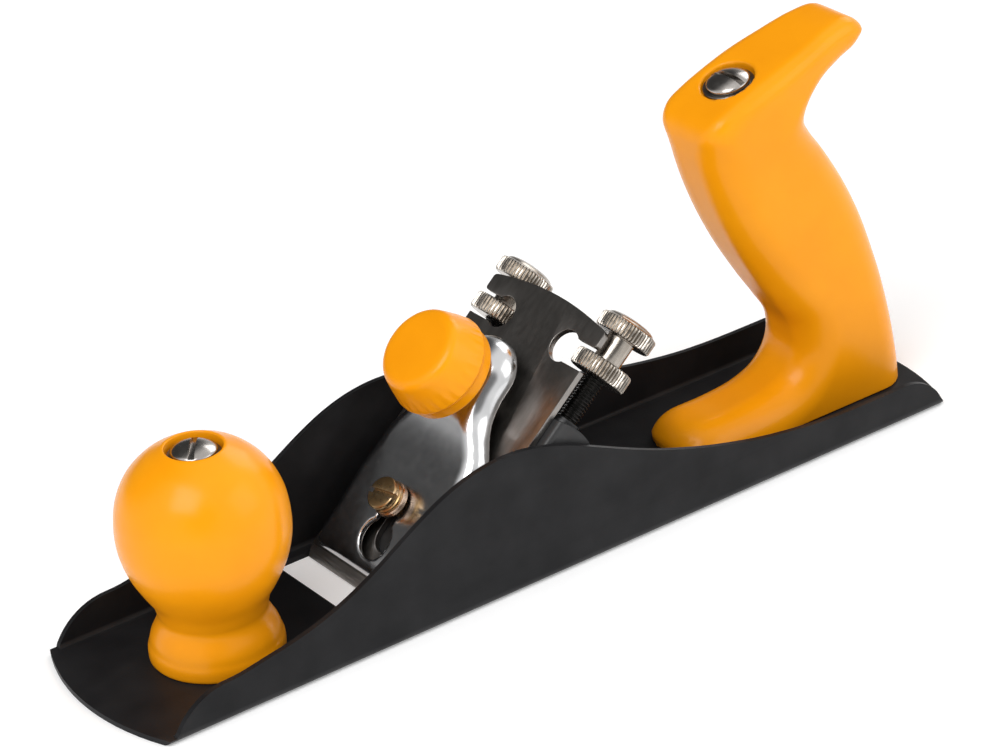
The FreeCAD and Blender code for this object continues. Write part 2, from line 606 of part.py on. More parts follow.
def cap_body(name, inset, low):
    """The cap's outer form, or its hollow: everything drawn in by inset."""
    b = on_bed(new_body(name))
    k = q(inset)
    s = new_sketch(b, name + "_side", "XZ_Plane")
    pts = [row("cap", i) for i in range(len(CAP))]
    pts = [(p + (k if i == 0 else (-k if i == len(CAP) - 1 else q(0))), z - k) for i, (p, z) in enumerate(pts)]
    dirs = [(1.0, c[2]) for c in CAP]
    edge = [(p, z if isinstance(z, Q) else q(z)) for p, z in low(pts)]
    draw(s, edge[0], [("L", pts[0][0], pts[0][1])] + biarcs(pts, dirs) + [("L",) + p for p in edge[1:]] + [("L",) + edge[0]])
    pad(b, s, S("cap_front_half") * 2 + 6, mid=True, name=name + "_pad")
    s = new_sketch(b, name + "_plan", "XY_Plane")
    x0 = pts[0][0]
    fy, wy, ry = S("cap_front_half") - k, S("cap_waist_half") - k, CR - k
    wx, nx, dx = S("cap_waist_at"), S("cap_neck_at"), S("cap_dome_at")
    out = [("L", x0, fy), ("L", wx, wy)] + biarcs([(wx, wy), (nx, ry)], [(1.0, -0.03), (1.0, 0.0)])
    out += [("L", dx, ry), ("A", dx + ry, 0, -ry), ("A", dx, -ry, -ry), ("L", nx, -ry)]
    out += biarcs([(nx, -ry), (wx, -wy)], [(-1.0, 0.0), (-1.0, -0.03)]) + [("L", x0, -fy)]
    draw(s, (x0, -fy), out)
    draw(s, (-10, -40), [("L", 90, -40), ("L", 90, 40), ("L", -10, 40), ("L", -10, -40)])
    pocket_all(b, s, name + "_trim")
    return b


def outer_low(p):
    return [(p[0][0], S("cap_clear")), (p[-1][0], 4.6), (q(55.3), 3.6), (q(41.1), 1.6)]


def inner_low(p):
    return [(p[0][0], -6), (p[-1][0], -6)]


def on_cap_top(drop):
    def keep(m, e):
        low = 0.15 + (m.x - 5.6) * 0.041 if m.x < 41.1 else (1.6 + (m.x - 41.1) * 0.141 if m.x < 55.3 else 3.6 + (m.x - 55.3) * 0.076)
        return m.z > low + 0.7 - drop and m.x > 7.3
    return keep


cap_outer = cap_body("cap_outer", 0, outer_low)
assert round_edges(cap_outer, S("cap_round"), on_cap_top(0)), "cap edges not rounded"
cap_core = cap_body("cap_core", CW, inner_low)
round_edges(cap_core, S("cap_round") - CW, on_cap_top(1.3))
key = on_bed(new_body("cap_key"))
s = new_sketch(key, "keyhole", "XY_Plane", -2)
KR, KS, KA, KT = S("key_round"), S("key_slot_half"), S("key_round_at"), S("key_slot_at")
kx = KA + Q(math.sqrt(KR.v ** 2 - KS.v ** 2), "sqrt(%s * %s - %s * %s)" % (KR.e, KR.e, KS.e, KS.e))
draw(s, (kx, -KS), [("L", KT, -KS), ("A", KT + KS, 0, KS), ("A", KT, KS, KS), ("L", kx, KS), ("A", KA - KR, 0, KR), ("A", kx, -KS, KR)])
pad(key, s, 16, name="keyhole_pad")
hole = bed_shift(primitive("Part::Cylinder", "cap_bush_hole", Radius=S("bush_radius"), Height=20), S("clamp_at"), 0, 0)
tools = combine("Part::MultiFuse", "cap_tools", cap_core, key, hole)
cap = combine("Part::Cut", "cap_part", cap_outer, tools)
node(cap, "lever_cap")

# threaded bush riveted into the dome
b = on_bed(new_body("lever_cap_bush"))
s = new_sketch(b, "bush_profile", "XZ_Plane")
doc.recompute()


def turned(name, at_s, at_y, outline, tilt_on_bed=True, at_z=0):
    """A turned piece: outline is (radius, height) along the piece's own z axis."""
    b = new_body(name)
    s = new_sketch(b, name + "_profile", "XZ_Plane")
    draw(s, outline[0], outline[1])
    revolve(b, s, name + "_turn")
    if tilt_on_bed:
        bed_shift(b, at_s, at_y, at_z)
    else:
        shift(b, at_s, at_y, at_z)
    return b


doc.removeObject(s.Name)
doc.removeObject(b.Name)
BR, BF, BB = S("bush_radius"), S("bush_flange"), S("bush_bore")
node(turned("lever_cap_bush", S("clamp_at"), 0, ((BB, 4.4), [
    ("L", BF, 4.4), ("L", BF, 7.2), ("L", BR, 7.2), ("L", BR, 12.1), ("L", BR - 0.4, 12.5), ("L", BB, 12.5), ("L", BB, 4.4)])),
    "lever_cap_bush")

# clamp screw and its moulded knob
CS, KL, KH = S("clamp_screw_radius"), S("knob_low"), S("knob_high")
tip = S("clamp_tip")
node(turned("clamp_screw", S("clamp_at"), 0, ((0, tip), [
    ("L", CS - 1.0, tip), ("L", CS, tip + 0.8), ("L", CS, KL + 1.2), ("L", 5.0, KL + 1.2), ("L", 5.0, KL + 5.0), ("L", 0, KL + 5.0),
    ("L", 0, tip)])), "clamp_screw")
KM = S("knob_rim")
KF = S("knob_face")
node(turned("clamp_knob", S("clamp_at"), 0, ((CS, KL), [
    ("L", KM - 1.2, KL), ("A", KM - 0.7, KL + 0.5, 0.5), ("L", KM - 0.8, KL + 2.8), ("L", KM - 1.4, KL + 3.2), ("L", KM - 0.4, KL + 3.9), ("A", KM, KL + 4.3, 0.4), ("L", KM - 0.05, KL + 4.8),
    ("A", KF + 2.4, KH - 1.9, -18.0), ("A", KF, KH, 2.4), ("L", 0, KH), ("L", 0, KL + 5.0),
    ("L", 5.0, KL + 5.0), ("L", 5.0, KL + 1.2), ("L", CS, KL + 1.2), ("L", CS, KL)])), "clamp_knob")

# ---- cap screw, washer and weld nut ----------------------------------------
CC = S("cap_screw_radius")
HR, HL, HH = S("cap_head_radius"), S("cap_head_low"), S("cap_head_high")
shank_low = -(TI + GAP + G + 4.6)
blank = turned("cap_screw_blank", S("cap_screw_at"), 0, ((0, shank_low), [
    ("L", CC - 0.5, shank_low), ("L", CC, shank_low + 0.5), ("L", CC, HL), ("L", HR, HL), ("L", HR, HH - 0.4), ("L", HR - 0.4, HH),
    ("L", 0, HH), ("L", 0, shank_low)]))
slot = primitive("Part::Box", "cap_screw_slot", Length=S("slot_width"), Width=12, Height=3)
bed_shift(slot, S("cap_screw_at") - S("slot_width") / 2, -6, HH - 1.3)
node(combine("Part::Cut", "cap_screw_part", blank, slot), "cap_screw")
WL = S("cap_washer_low")
node(turned("cap_screw_washer", S("cap_screw_at"), 0, ((CC + 0.15, WL), [
    ("L", S("cap_washer_radius") - 0.25, WL), ("L", S("cap_washer_radius"), WL + 0.25), ("L", S("cap_washer_radius"), HL - 0.25),
    ("L", S("cap_washer_radius") - 0.25, HL), ("L", CC + 0.15, HL), ("L", CC + 0.15, WL)])), "cap_screw_washer")


def hex_nut(name, flats, high, bore):
    flats, high, bore = q(flats), q(high), q(bore)
    p = doc.addObject("Part::Prism", name + "_hex")
    p.Polygon = 6
    bind(p, Circumradius=flats * (1 / math.sqrt(3)), Height=high)
    c = primitive("Part::Cylinder", name + "_bore", Radius=bore, Height=high + 2)
    return p, c


p, c = hex_nut("cap_screw_nut", S("weld_nut_flats"), 4.0, CC)
nut_low = -(TI + GAP + G + 4.0)
bed_shift(p, S("cap_screw_at"), 0, nut_low)
bed_shift(c, S("cap_screw_at"), 0, nut_low - 1)
node(combine("Part::Cut", "cap_screw_nut_part", p, c), "cap_screw_nut")

# ---- front knob ------------------------------------------------------------
BX = S("ball_x")
BBR, RCR, RCF = S("ball_bore"), S("recess_radius"), S("recess_floor")
WN = S("weld_nut_high")
pts = [row("ball", i) for i in range(len(BALL))]
dirs = chords(pts)
dirs[0] = (0.0, 1.0)
pocket_r = q(5.0)
pocket_z = T + WN + 0.6
outline = [("L", 15.2, T), ("A", 15.6, T + 1.1, 1.5), ("L", 15.4, 4.6), ("A", 15.0, 5.2, 0.9), ("L", 15.0, 5.6), ("L", 15.0, 6.2),
           ("A", pts[0][0], pts[0][1], -9.5)]
outline += biarcs(pts, dirs)
outline += [("L", RCR, RCF), ("L", BBR, RCF), ("L", BBR, pocket_z), ("L", pocket_r, pocket_z), ("L", pocket_r, T)]
node(turned("front_knob", BX, 0, ((pocket_r, T), outline), tilt_on_bed=False), "front_knob")
SWR, HDR, HDH, SW = S("ball_screw_radius"), S("screw_head_radius"), S("screw_head_high"), S("slot_width")
WG = S("washer_gauge")


def headed(name, x, z_low, seat, place):
    """Slotted raised-head screw on its own z axis: seat is the underside of the head."""
    return [("L", SWR - 0.5, z_low), ("L", SWR, z_low + 0.5), ("L", SWR, seat), ("L", HDR, seat), ("L", HDR, seat + 0.9),
            ("A", 0, seat + HDH, 8.9), ("L", 0, z_low)]


seat = RCF + WG
z0 = T + 0.4
blank = turned("front_knob_screw_blank", BX, 0, ((0, z0), headed("", BX, z0, seat, None)), tilt_on_bed=False)
slot = primitive("Part::Box", "front_knob_screw_slot", Length=SW, Width=14, Height=3)
slot.Placement.Rotation = Rotation(Vector(0, 0, 1), 0)
shift(slot, BX - SW / 2, -7, seat + HDH - 1.4)
node(combine("Part::Cut", "front_knob_screw_part", blank, slot), "front_knob_screw")
node(turned("front_knob_washer", BX, 0, ((SWR + 0.2, RCF), [
    ("L", 6.2, RCF), ("L", 6.2, seat), ("L", SWR + 0.2, seat), ("L", SWR + 0.2, RCF)]), tilt_on_bed=False), "front_knob_washer")
p, c = hex_nut("front_knob_nut", S("weld_nut_flats"), WN, SWR)
shift(p, BX, 0, T)
shift(c, BX, 0, T - 1)
node(combine("Part::Cut", "front_knob_nut_part", p, c), "front_knob_nut")

# ---- rear handle -----------------------------------------------------------
grip = new_body("rear_handle_blank")
s = new_sketch(grip, "grip_side", "XZ_Plane")
pts = [row("grip", i) for i in range(len(GRIP))]
dirs = chords(pts)
dirs[0], dirs[-1] = (-0.35, 1.0), (0.03, -1.0)
draw(s, pts[0], biarcs(pts, dirs) + [("L", pts[0][0], pts[0][1])])
pad(grip, s, S("grip_half") * 2, mid=True, name="grip_pad")
GH = S("grip_half")
s = new_sketch(grip, "grip_toe", "XY_Plane")
tx = pts[1][0]
draw(s, (tx + GH, -GH - 1), [("L", tx + GH, -GH), ("A", tx - 0.3, 0, -(GH + 0.3)), ("A", tx + GH, GH, -(GH + 0.3)), ("L", tx + GH, GH + 1),
                            ("L", tx - 3, GH + 1), ("L", tx - 3, -GH - 1), ("L", tx + GH, -GH - 1)])
pocket_all(grip, s, "grip_toe_cut")
for r in (S("grip_round"), S("grip_round") - 1, S("grip_round") - 2):
    if round_edges(grip, r, lambda m, e: m.z > 2.2, least=25):
        break
# screw channel, recess and floor-side pocket, along the tilted screw
TILT = S("grip_tilt")
ct, st = math.cos(math.radians(TILT.v)), math.sin(math.radians(TILT.v))
COT, SIT = Q(ct, "cos(Spec.grip_tilt)"), Q(st, "sin(Spec.grip_tilt)")
GX, GZ = S("grip_screw_x"), S("grip_screw_z")
length = (GZ - T) / COT


def along(obj, d):
    """Put obj on the handle's screw line, its own z axis up the line, d above the sole."""
    d = q(d)
    up = length - d
    x, z = GX + up * SIT, GZ - up * COT
    obj.Placement = Placement(Vector(x.v, 0, z.v), Rotation(Vector(0, -1, 0), TILT.v))
    obj.setExpression("Placement.Base.x", x.e)
    obj.setExpression("Placement.Base.z", z.e)
    obj.setExpression("Placement.Rotation.Angle", "Spec.grip_tilt")
    return obj


GRD = S("grip_recess_depth")
bore = along(primitive("Part::Cylinder", "grip_bore", Radius=BBR, Height=length), 0)
recess = along(primitive("Part::Cylinder", "grip_recess", Radius=S("grip_recess"), Height=GRD + 12), length - GRD)
nut_pocket = along(primitive("Part::Cylinder", "grip_nut_pocket", Radius=5.0, Height=14.0), -3)
pin_pocket = shift(primitive("Part::Cylinder", "grip_pin_pocket", Radius=S("pin_radius") + 0.1, Height=S("pin_high") + 0.4), S("pin_x"), 0, 0)
tool = combine("Part::MultiFuse", "grip_tools", bore, recess, nut_pocket, pin_pocket)
node(combine("Part::Cut", "rear_handle_part", grip, tool), "rear_handle")


def along_turned(name, outline):
    b = new_body(name)
    s = new_sketch(b, name + "_profile", "XZ_Plane")
    draw(s, outline[0], outline[1])
    revolve(b, s, name + "_turn")
    return along(b, 0)


base = length - GRD
blank = along_turned("rear_handle_screw_blank", ((0, 1.6), headed("", 0, q(1.6), base + WG, None)))
slot = primitive("Part::Box", "rear_handle_screw_slot", Length=SW, Width=14, Height=3)
up = base + WG + HDH - 1.4
x = GX + (length - up) * SIT - (SW / 2) * COT
z = GZ - (length - up) * COT - (SW / 2) * SIT
slot.Placement = Placement(Vector(x.v, -7, z.v), Rotation(Vector(0, -1, 0), TILT.v))
slot.setExpression("Placement.Base.x", x.e)
slot.setExpression("Placement.Base.z", z.e)
node(combine("Part::Cut", "rear_handle_screw_part", blank, slot), "rear_handle_screw")
node(along_turned("rear_handle_washer", ((SWR + 0.2, base), [
    ("L", 6.3, base), ("L", 6.3, base + WG), ("L", SWR + 0.2, base + WG), ("L", SWR + 0.2, base)])), "rear_handle_washer")
# slanted threaded bush, cut flush where it is welded to the sole
stub = along(primitive("Part::Cylinder", "grip_bush_stub", Radius=4.6, Height=13.5), -3)
thread = along(primitive("Part::Cylinder", "grip_bush_thread", Radius=SWR, Height=16), -4)
under = shift(primitive("Part::Box", "grip_bush_under", Length=30, Width=30, Height=12), GX + 8, -15, T - 12)
cut = combine("Part::MultiFuse", "grip_bush_tools", thread, under)
node(combine("Part::Cut", "rear_handle_bush_part", stub, cut), "rear_handle_bush")
# locating pin, riveted flush in the sole
a = shift(primitive("Part::Cylinder", "pin_shank", Radius=S("pin_radius"), Height=S("pin_high") - 0.4), S("pin_x"), 0, 0)
b = shift(primitive("Part::Cone", "pin_foot", Radius1=S("pin_radius") + S("rivet_sink"), Radius2=S("pin_radius"), Height=S("rivet_sink")),
          S("pin_x"), 0, 0)
c = shift(primitive("Part::Cone", "pin_end", Radius1=S("pin_radius"), Radius2=S("pin_radius") - 0.4, Height=0.4), S("pin_x"), 0, S("pin_high") - 0.4)
node(combine("Part::MultiFuse", "pin_part", a, b, c), "handle_locating_pin")

# ---- checks and export -----------------------------------------------------
doc.recompute()
bad = []
for o in doc.Objects:
    if "Invalid" in o.State or "Error" in o.State:
        bad.append((o.Name, o.Label, o.State))
for o in NODES:
    if o.Shape.isNull() or not o.Shape.isValid() or not o.Shape.Solids:
        bad.append((o.Name, o.Label, "bad shape"))
if bad:
    for b in bad:
        print("BAD", b)
    raise SystemExit(1)
os.makedirs("parts", exist_ok=True)
for o in NODES:
    o.Shape.exportStep(os.path.join("parts", o.Label + ".step"))
    bb = o.Shape.BoundBox
    print("%-22s solids %d vol %9.1f  x %.1f..%.1f y %.1f..%.1f z %.1f..%.1f" % (
        o.Label, len(o.Shape.Solids), o.Shape.Volume, bb.XMin, bb.XMax, bb.YMin, bb.YMax, bb.ZMin, bb.ZMax))
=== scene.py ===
import json
import math

import bmesh
import bpy
import numpy as np
from mathutils import Matrix, Vector


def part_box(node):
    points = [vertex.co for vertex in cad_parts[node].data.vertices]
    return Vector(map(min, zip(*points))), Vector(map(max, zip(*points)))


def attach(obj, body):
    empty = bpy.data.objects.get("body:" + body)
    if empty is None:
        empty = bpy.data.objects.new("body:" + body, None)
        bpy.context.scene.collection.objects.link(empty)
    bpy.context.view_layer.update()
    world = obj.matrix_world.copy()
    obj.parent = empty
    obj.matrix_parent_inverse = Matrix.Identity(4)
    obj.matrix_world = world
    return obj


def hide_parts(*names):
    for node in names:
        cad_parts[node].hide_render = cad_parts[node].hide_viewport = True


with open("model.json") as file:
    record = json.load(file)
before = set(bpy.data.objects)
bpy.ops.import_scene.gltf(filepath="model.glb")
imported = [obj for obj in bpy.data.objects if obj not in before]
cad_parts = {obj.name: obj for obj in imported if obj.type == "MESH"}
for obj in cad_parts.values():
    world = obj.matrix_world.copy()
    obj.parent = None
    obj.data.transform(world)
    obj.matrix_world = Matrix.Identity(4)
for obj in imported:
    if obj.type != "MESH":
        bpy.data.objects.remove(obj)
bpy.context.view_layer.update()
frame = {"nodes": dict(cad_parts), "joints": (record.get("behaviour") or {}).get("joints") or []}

MM = 0.001
nodes = frame["nodes"]
joints = {j["name"]: j for j in frame["joints"]}

# ---------------------------------------------------------------------------
# places, read from the CAD's joints (all in mm here)
# ---------------------------------------------------------------------------
ax = joints["iron_slide"]["axis"]
CO, SI = float(ax[0]), float(ax[2])
_n = np.array(joints["left_nut_turn"]["pos_m"], float) / MM
ORIGIN = np.array([_n[0] - CO * 77.5 + SI * -7.0, 0.0, _n[2] - SI * 77.5 - CO * -7.0])
BED = Matrix(((CO, 0, -SI, ORIGIN[0] * MM), (0, 1, 0, 0), (SI, 0, CO, ORIGIN[2] * MM), (0, 0, 0, 1)))
# same frame with its z axis up the bed, for pieces turned about a line along the bed
ALONG = Matrix(((-SI, 0, CO, ORIGIN[0] * MM), (0, 1, 0, 0), (CO, 0, SI, ORIGIN[2] * MM), (0, 0, 0, 1)))


def bounds_mm(node):
    lo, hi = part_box(node)
    return np.array(lo) / MM, np.array(hi) / MM


def shifted(m, x, y, z):
    return m @ Matrix.Translation(Vector((x, y, z)) * MM)


# ---------------------------------------------------------------------------
# mesh helpers
# ---------------------------------------------------------------------------
def make(name, verts, faces, place=None, smooth=True, angle=35.0, normals=None):
    """A mesh object from points in mm; place is a matrix in metres."""
    me = bpy.data.meshes.new(name)
    v = np.asarray(verts, float) * MM
    me.from_pydata([tuple(p) for p in v], [], [tuple(int(i) for i in f) for f in faces])
    me.validate()
    ob = bpy.data.objects.new(name, me)
    bpy.context.scene.collection.objects.link(ob)
    if place is not None:
        me.transform(place)
    if normals is not None and len(me.vertices) == len(normals):
        me.shade_smooth()
        n = np.asarray(normals, float)
        if place is not None:
            n = n @ np.array(place.to_3x3()).T
        me.normals_split_custom_set_from_vertices([tuple(p) for p in n])
    else:
        shade(ob, smooth, angle)
    return ob


def shade(ob, smooth=True, angle=35.0):
    me = ob.data
    if smooth:
        me.shade_smooth()
        me.set_sharp_from_angle(angle=math.radians(angle))
    else:
        me.shade_flat()


def tidy(ob, dist=1e-4):
    bm = bmesh.new()
    bm.from_mesh(ob.data)
    bmesh.ops.remove_doubles(bm, verts=bm.verts, dist=dist * MM)
    bad = [f for f in bm.faces if f.calc_area() < 1e-14]
    if bad:
        bmesh.ops.delete(bm, geom=bad, context="FACES_ONLY")
    bmesh.ops.recalc_face_normals(bm, faces=bm.faces)
    bm.to_mesh(ob.data)
    bm.free()


def bake_modifiers(ob, angle=35.0):
    dg = bpy.context.evaluated_depsgraph_get()
    me = bpy.data.meshes.new_from_object(ob.evaluated_get(dg))
    old = ob.data
    ob.modifiers.clear()
    ob.data = me
    bpy.data.meshes.remove(old)
    shade(ob, True, angle)
    return ob


def bevel(ob, width, segments=2, angle=40.0, bake=True, sharp=35.0):
    m = ob.modifiers.new("edge", "BEVEL")
    m.width = width * MM
    m.segments = segments
    m.limit_method = "ANGLE"
    m.angle_limit = math.radians(angle)
    m.use_clamp_overlap = True
    m.harden_normals = False
    if bake:
        bake_modifiers(ob, sharp)
    return ob


def cut(ob, tool, bake=True, angle=35.0):
    m = ob.modifiers.new("cut", "BOOLEAN")
    m.operation = "DIFFERENCE"
    m.solver = "EXACT"
    m.object = tool
    if bake:
        bake_modifiers(ob, angle)
        bpy.data.objects.remove(tool)
    return ob


def block(name, lo, hi, place=None):
    (x0, y0, z0), (x1, y1, z1) = lo, hi
    v = [(x, y, z) for z in (z0, z1) for y in (y0, y1) for x in (x0, x1)]
    f = [(0, 2, 3, 1), (4, 5, 7, 6), (0, 1, 5, 4), (2, 6, 7, 3), (0, 4, 6, 2), (1, 3, 7, 5)]
    return make(name, v, f, place, smooth=False)


def spun(name, profile, n=96, place=None, wobble=None, angle=35.0):
    """Profile (r, z) spun about z. wobble(theta array, row index, r, z) gives the radii of a row."""
    th = np.linspace(0, 2 * math.pi, n, endpoint=False)
    verts, rows = [], []
    for i, (r, z) in enumerate(profile):
        if r < 1e-6:
            rows.append([len(verts)])
            verts.append((0, 0, z))
            continue
        rr = np.full(n, float(r)) if wobble is None else wobble(th, i, float(r), float(z))
        rows.append(list(range(len(verts), len(verts) + n)))
        verts += [(a, b, z) for a, b in zip(rr * np.cos(th), rr * np.sin(th))]
    faces = []
    closed = profile[0][0] > 1e-6 and profile[-1][0] > 1e-6
    pairs = list(zip(rows[:-1], rows[1:])) + ([(rows[-1], rows[0])] if closed else [])
    for a, b in pairs:
        if len(a) == 1 and len(b) == 1:
            continue
        for k in range(n):
            j = (k + 1) % n
            if len(a) == 1:
                faces.append((a[0], b[j], b[k]))
            elif len(b) == 1:
                faces.append((a[k], a[j], b[0]))
            else:
                faces.append((a[k], a[j], b[j], b[k]))
    ob = make(name, verts, faces, place, True, angle)
    tidy(ob)
    shade(ob, True, angle)
    return ob


def arc(cx, cy, r, a0, a1, n):
    t = np.radians(np.linspace(a0, a1, n + 1))
    return [(cx + r * math.cos(a), cy + r * math.sin(a)) for a in t]


def curve_through(points, per=8):
    """A smooth polyline through the points (centripetal Catmull-Rom)."""
    p = np.array(points, float)
    p = np.vstack([2 * p[0] - p[1], p, 2 * p[-1] - p[-2]])
    out = []
    for i in range(1, len(p) - 2):
        a, b, c, d = p[i - 1], p[i], p[i + 1], p[i + 2]
        t0 = 0.0
        t1 = t0 + np.linalg.norm(b - a) ** 0.5
        t2 = t1 + np.linalg.norm(c - b) ** 0.5
        t3 = t2 + np.linalg.norm(d - c) ** 0.5
        for t in np.linspace(t1, t2, per, endpoint=False):
            A1 = (t1 - t) / (t1 - t0) * a + (t - t0) / (t1 - t0) * b
            A2 = (t2 - t) / (t2 - t1) * b + (t - t1) / (t2 - t1) * c
            A3 = (t3 - t) / (t3 - t2) * c + (t - t2) / (t3 - t2) * d
            B1 = (t2 - t) / (t2 - t0) * A1 + (t - t0) / (t2 - t0) * A2
            B2 = (t3 - t) / (t3 - t1) * A2 + (t - t1) / (t3 - t1) * A3
            out.append((t2 - t) / (t2 - t1) * B1 + (t - t1) / (t2 - t1) * B2)
    out.append(p[-2])
    return np.array(out)


def smoothstep(x):
    x = np.clip(x, 0.0, 1.0)
    return x * x * (3 - 2 * x)


def outline_distance(px, py, poly):
    """Signed distance from points to a closed outline, negative inside."""
    poly = np.asarray(poly, float)
    a, b = poly, np.roll(poly, -1, axis=0)
    d = b - a
    ll = np.maximum((d ** 2).sum(1), 1e-12)
    out = np.empty(len(px))
    for k in range(0, len(px), 20000):
        x, y = px[k:k + 20000, None], py[k:k + 20000, None]
        wx, wy = x - a[None, :, 0], y - a[None, :, 1]
        t = np.clip((wx * d[None, :, 0] + wy * d[None, :, 1]) / ll[None], 0, 1)
        dist = np.sqrt(((wx - t * d[None, :, 0]) ** 2 + (wy - t * d[None, :, 1]) ** 2).min(1))
        up = (a[None, :, 1] <= y) != (b[None, :, 1] <= y)
        with np.errstate(divide="ignore", invalid="ignore"):
            xc = a[None, :, 0] + (y - a[None, :, 1]) * d[None, :, 0] / d[None, :, 1]
        inside = (np.where(up, xc > x, False).sum(1) % 2) == 1
        out[k:k + 20000] = np.where(inside, -dist, dist)
    return out


def rounded(a, b, r):
    """Intersection of two half spaces a and b whose shared edge has radius r."""
    a, b = a + r, b + r
    return np.hypot(np.maximum(a, 0), np.maximum(b, 0)) + np.minimum(np.maximum(a, b), 0) - r


def implicit(name, sdf, lo, hi, step, place=None, soften=1):
    """Mesh of sdf(points) = 0 by surface nets; points are then put exactly on the surface."""
    lo, hi = np.array(lo, float), np.array(hi, float)
    n = np.ceil((hi - lo) / step).astype(int) + 1
    xs = [lo[i] + step * np.arange(n[i]) for i in range(3)]
    g = np.stack(np.meshgrid(*xs, indexing="ij"), -1).reshape(-1, 3)
    f = np.concatenate([sdf(g[k:k + 400000]) for k in range(0, len(g), 400000)]).reshape(n)
    neg = f < 0
    acc = np.zeros((*(n - 1), 3))
    cnt = np.zeros(n - 1)
    cell = np.stack(np.meshgrid(*[np.arange(k) for k in n], indexing="ij"), -1).astype(float)
    cross = []
    for axis in range(3):
        sl0 = [slice(None)] * 3
        sl1 = [slice(None)] * 3
        sl0[axis], sl1[axis] = slice(0, -1), slice(1, None)
        a, b = f[tuple(sl0)], f[tuple(sl1)]
        hit = neg[tuple(sl0)] != neg[tuple(sl1)]
        idx = np.argwhere(hit)
        fa, fb = a[hit], b[hit]
        t = fa / (fa - fb)
        p = cell[tuple(idx.T)].copy()
        p[:, axis] += t
        o1, o2 = [k for k in range(3) if k != axis]
        for d1 in (0, -1):
            for d2 in (0, -1):
                c = idx.copy()
                c[:, o1] += d1
                c[:, o2] += d2
                ok = (c >= 0).all(1) & (c < (n - 1)).all(1)
                np.add.at(acc, tuple(c[ok].T), p[ok])
                np.add.at(cnt, tuple(c[ok].T), 1)
        cross.append((axis, idx, neg[tuple(sl0)][hit]))
    used = cnt > 0
    index = -np.ones(n - 1, int)
    index[used] = np.arange(used.sum())
    v = acc[used] / cnt[used][:, None] * step + lo
    faces = []
    for axis, idx, inside in cross:
        o1, o2 = [k for k in range(3) if k != axis]
        quad = []
        for d1, d2 in ((0, 0), (-1, 0), (-1, -1), (0, -1)):
            c = idx.copy()
            c[:, o1] += d1
            c[:, o2] += d2
            ok = (c >= 0).all(1) & (c < (n - 1)).all(1)
            c = np.clip(c, 0, n - 2)
            quad.append(np.where(ok, index[tuple(c.T)], -1))
        quad = np.stack(quad, 1)
        good = (quad >= 0).all(1)
        flip = inside if axis != 1 else ~inside
        quad[flip] = quad[flip][:, ::-1]
        faces.append(quad[good])
    faces = np.concatenate(faces)
    e = 0.04
    eye = np.eye(3)

    def grad(p):
        return np.stack([(sdf(p + eye[i] * e) - sdf(p - eye[i] * e)) / (2 * e) for i in range(3)], 1)

    nb_a = np.concatenate([faces[:, i] for i in range(4)])
    nb_b = np.concatenate([faces[:, (i + 1) % 4] for i in range(4)])

    def average(q):
        s = np.zeros_like(q)
        c = np.zeros(len(q))
        np.add.at(s, nb_a, q[nb_b])
        np.add.at(c, nb_a, 1)
        np.add.at(s, nb_b, q[nb_a])
        np.add.at(c, nb_b, 1)
        return s / np.maximum(c, 1)[:, None]

    for k in range(3):
        if k < 2:
            v = v * 0.5 + average(v) * 0.5
        gr = grad(v)
        L = np.maximum((gr ** 2).sum(1), 0.05)
        move = gr * (sdf(v) / L)[:, None]
        far = np.linalg.norm(move, axis=1, keepdims=True)
        v = v - move * np.minimum(1.0, step / np.maximum(far, 1e-9))
    nrm = grad(v)
    nrm /= np.maximum(np.linalg.norm(nrm, axis=1, keepdims=True), 1e-9)
    for _ in range(soften):
        nrm = nrm + average(nrm)
        nrm /= np.maximum(np.linalg.norm(nrm, axis=1, keepdims=True), 1e-9)
    ob = make(name, v, faces[:, ::-1], place, normals=None)
    bm = bmesh.new()
    bm.from_mesh(ob.data)
    bmesh.ops.recalc_face_normals(bm, faces=bm.faces)
    bm.to_mesh(ob.data)
    bm.free()
    ob.data.shade_smooth()
    nn = nrm if place is None else nrm @ np.array(place.to_3x3()).T
    if len(ob.data.vertices) == len(nn):
        ob.data.normals_split_custom_set_from_vertices([tuple(p) for p in nn])
    return ob


def piece(ob, body, node=None, mats=None):
    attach(ob, body)
    if node:
        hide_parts(node)
    if mats is not None:
        dress(ob, *mats if isinstance(mats, (list, tuple)) else (mats,))
    return ob


def dress(ob, *mats):
    me = ob.data
    if len(me.materials) == 0:
        for m in mats:
            me.materials.append(m)
    else:
        for i, m in enumerate(mats):
            if i < len(me.materials):
                me.materials[i] = m
            else:
                me.materials.append(m)


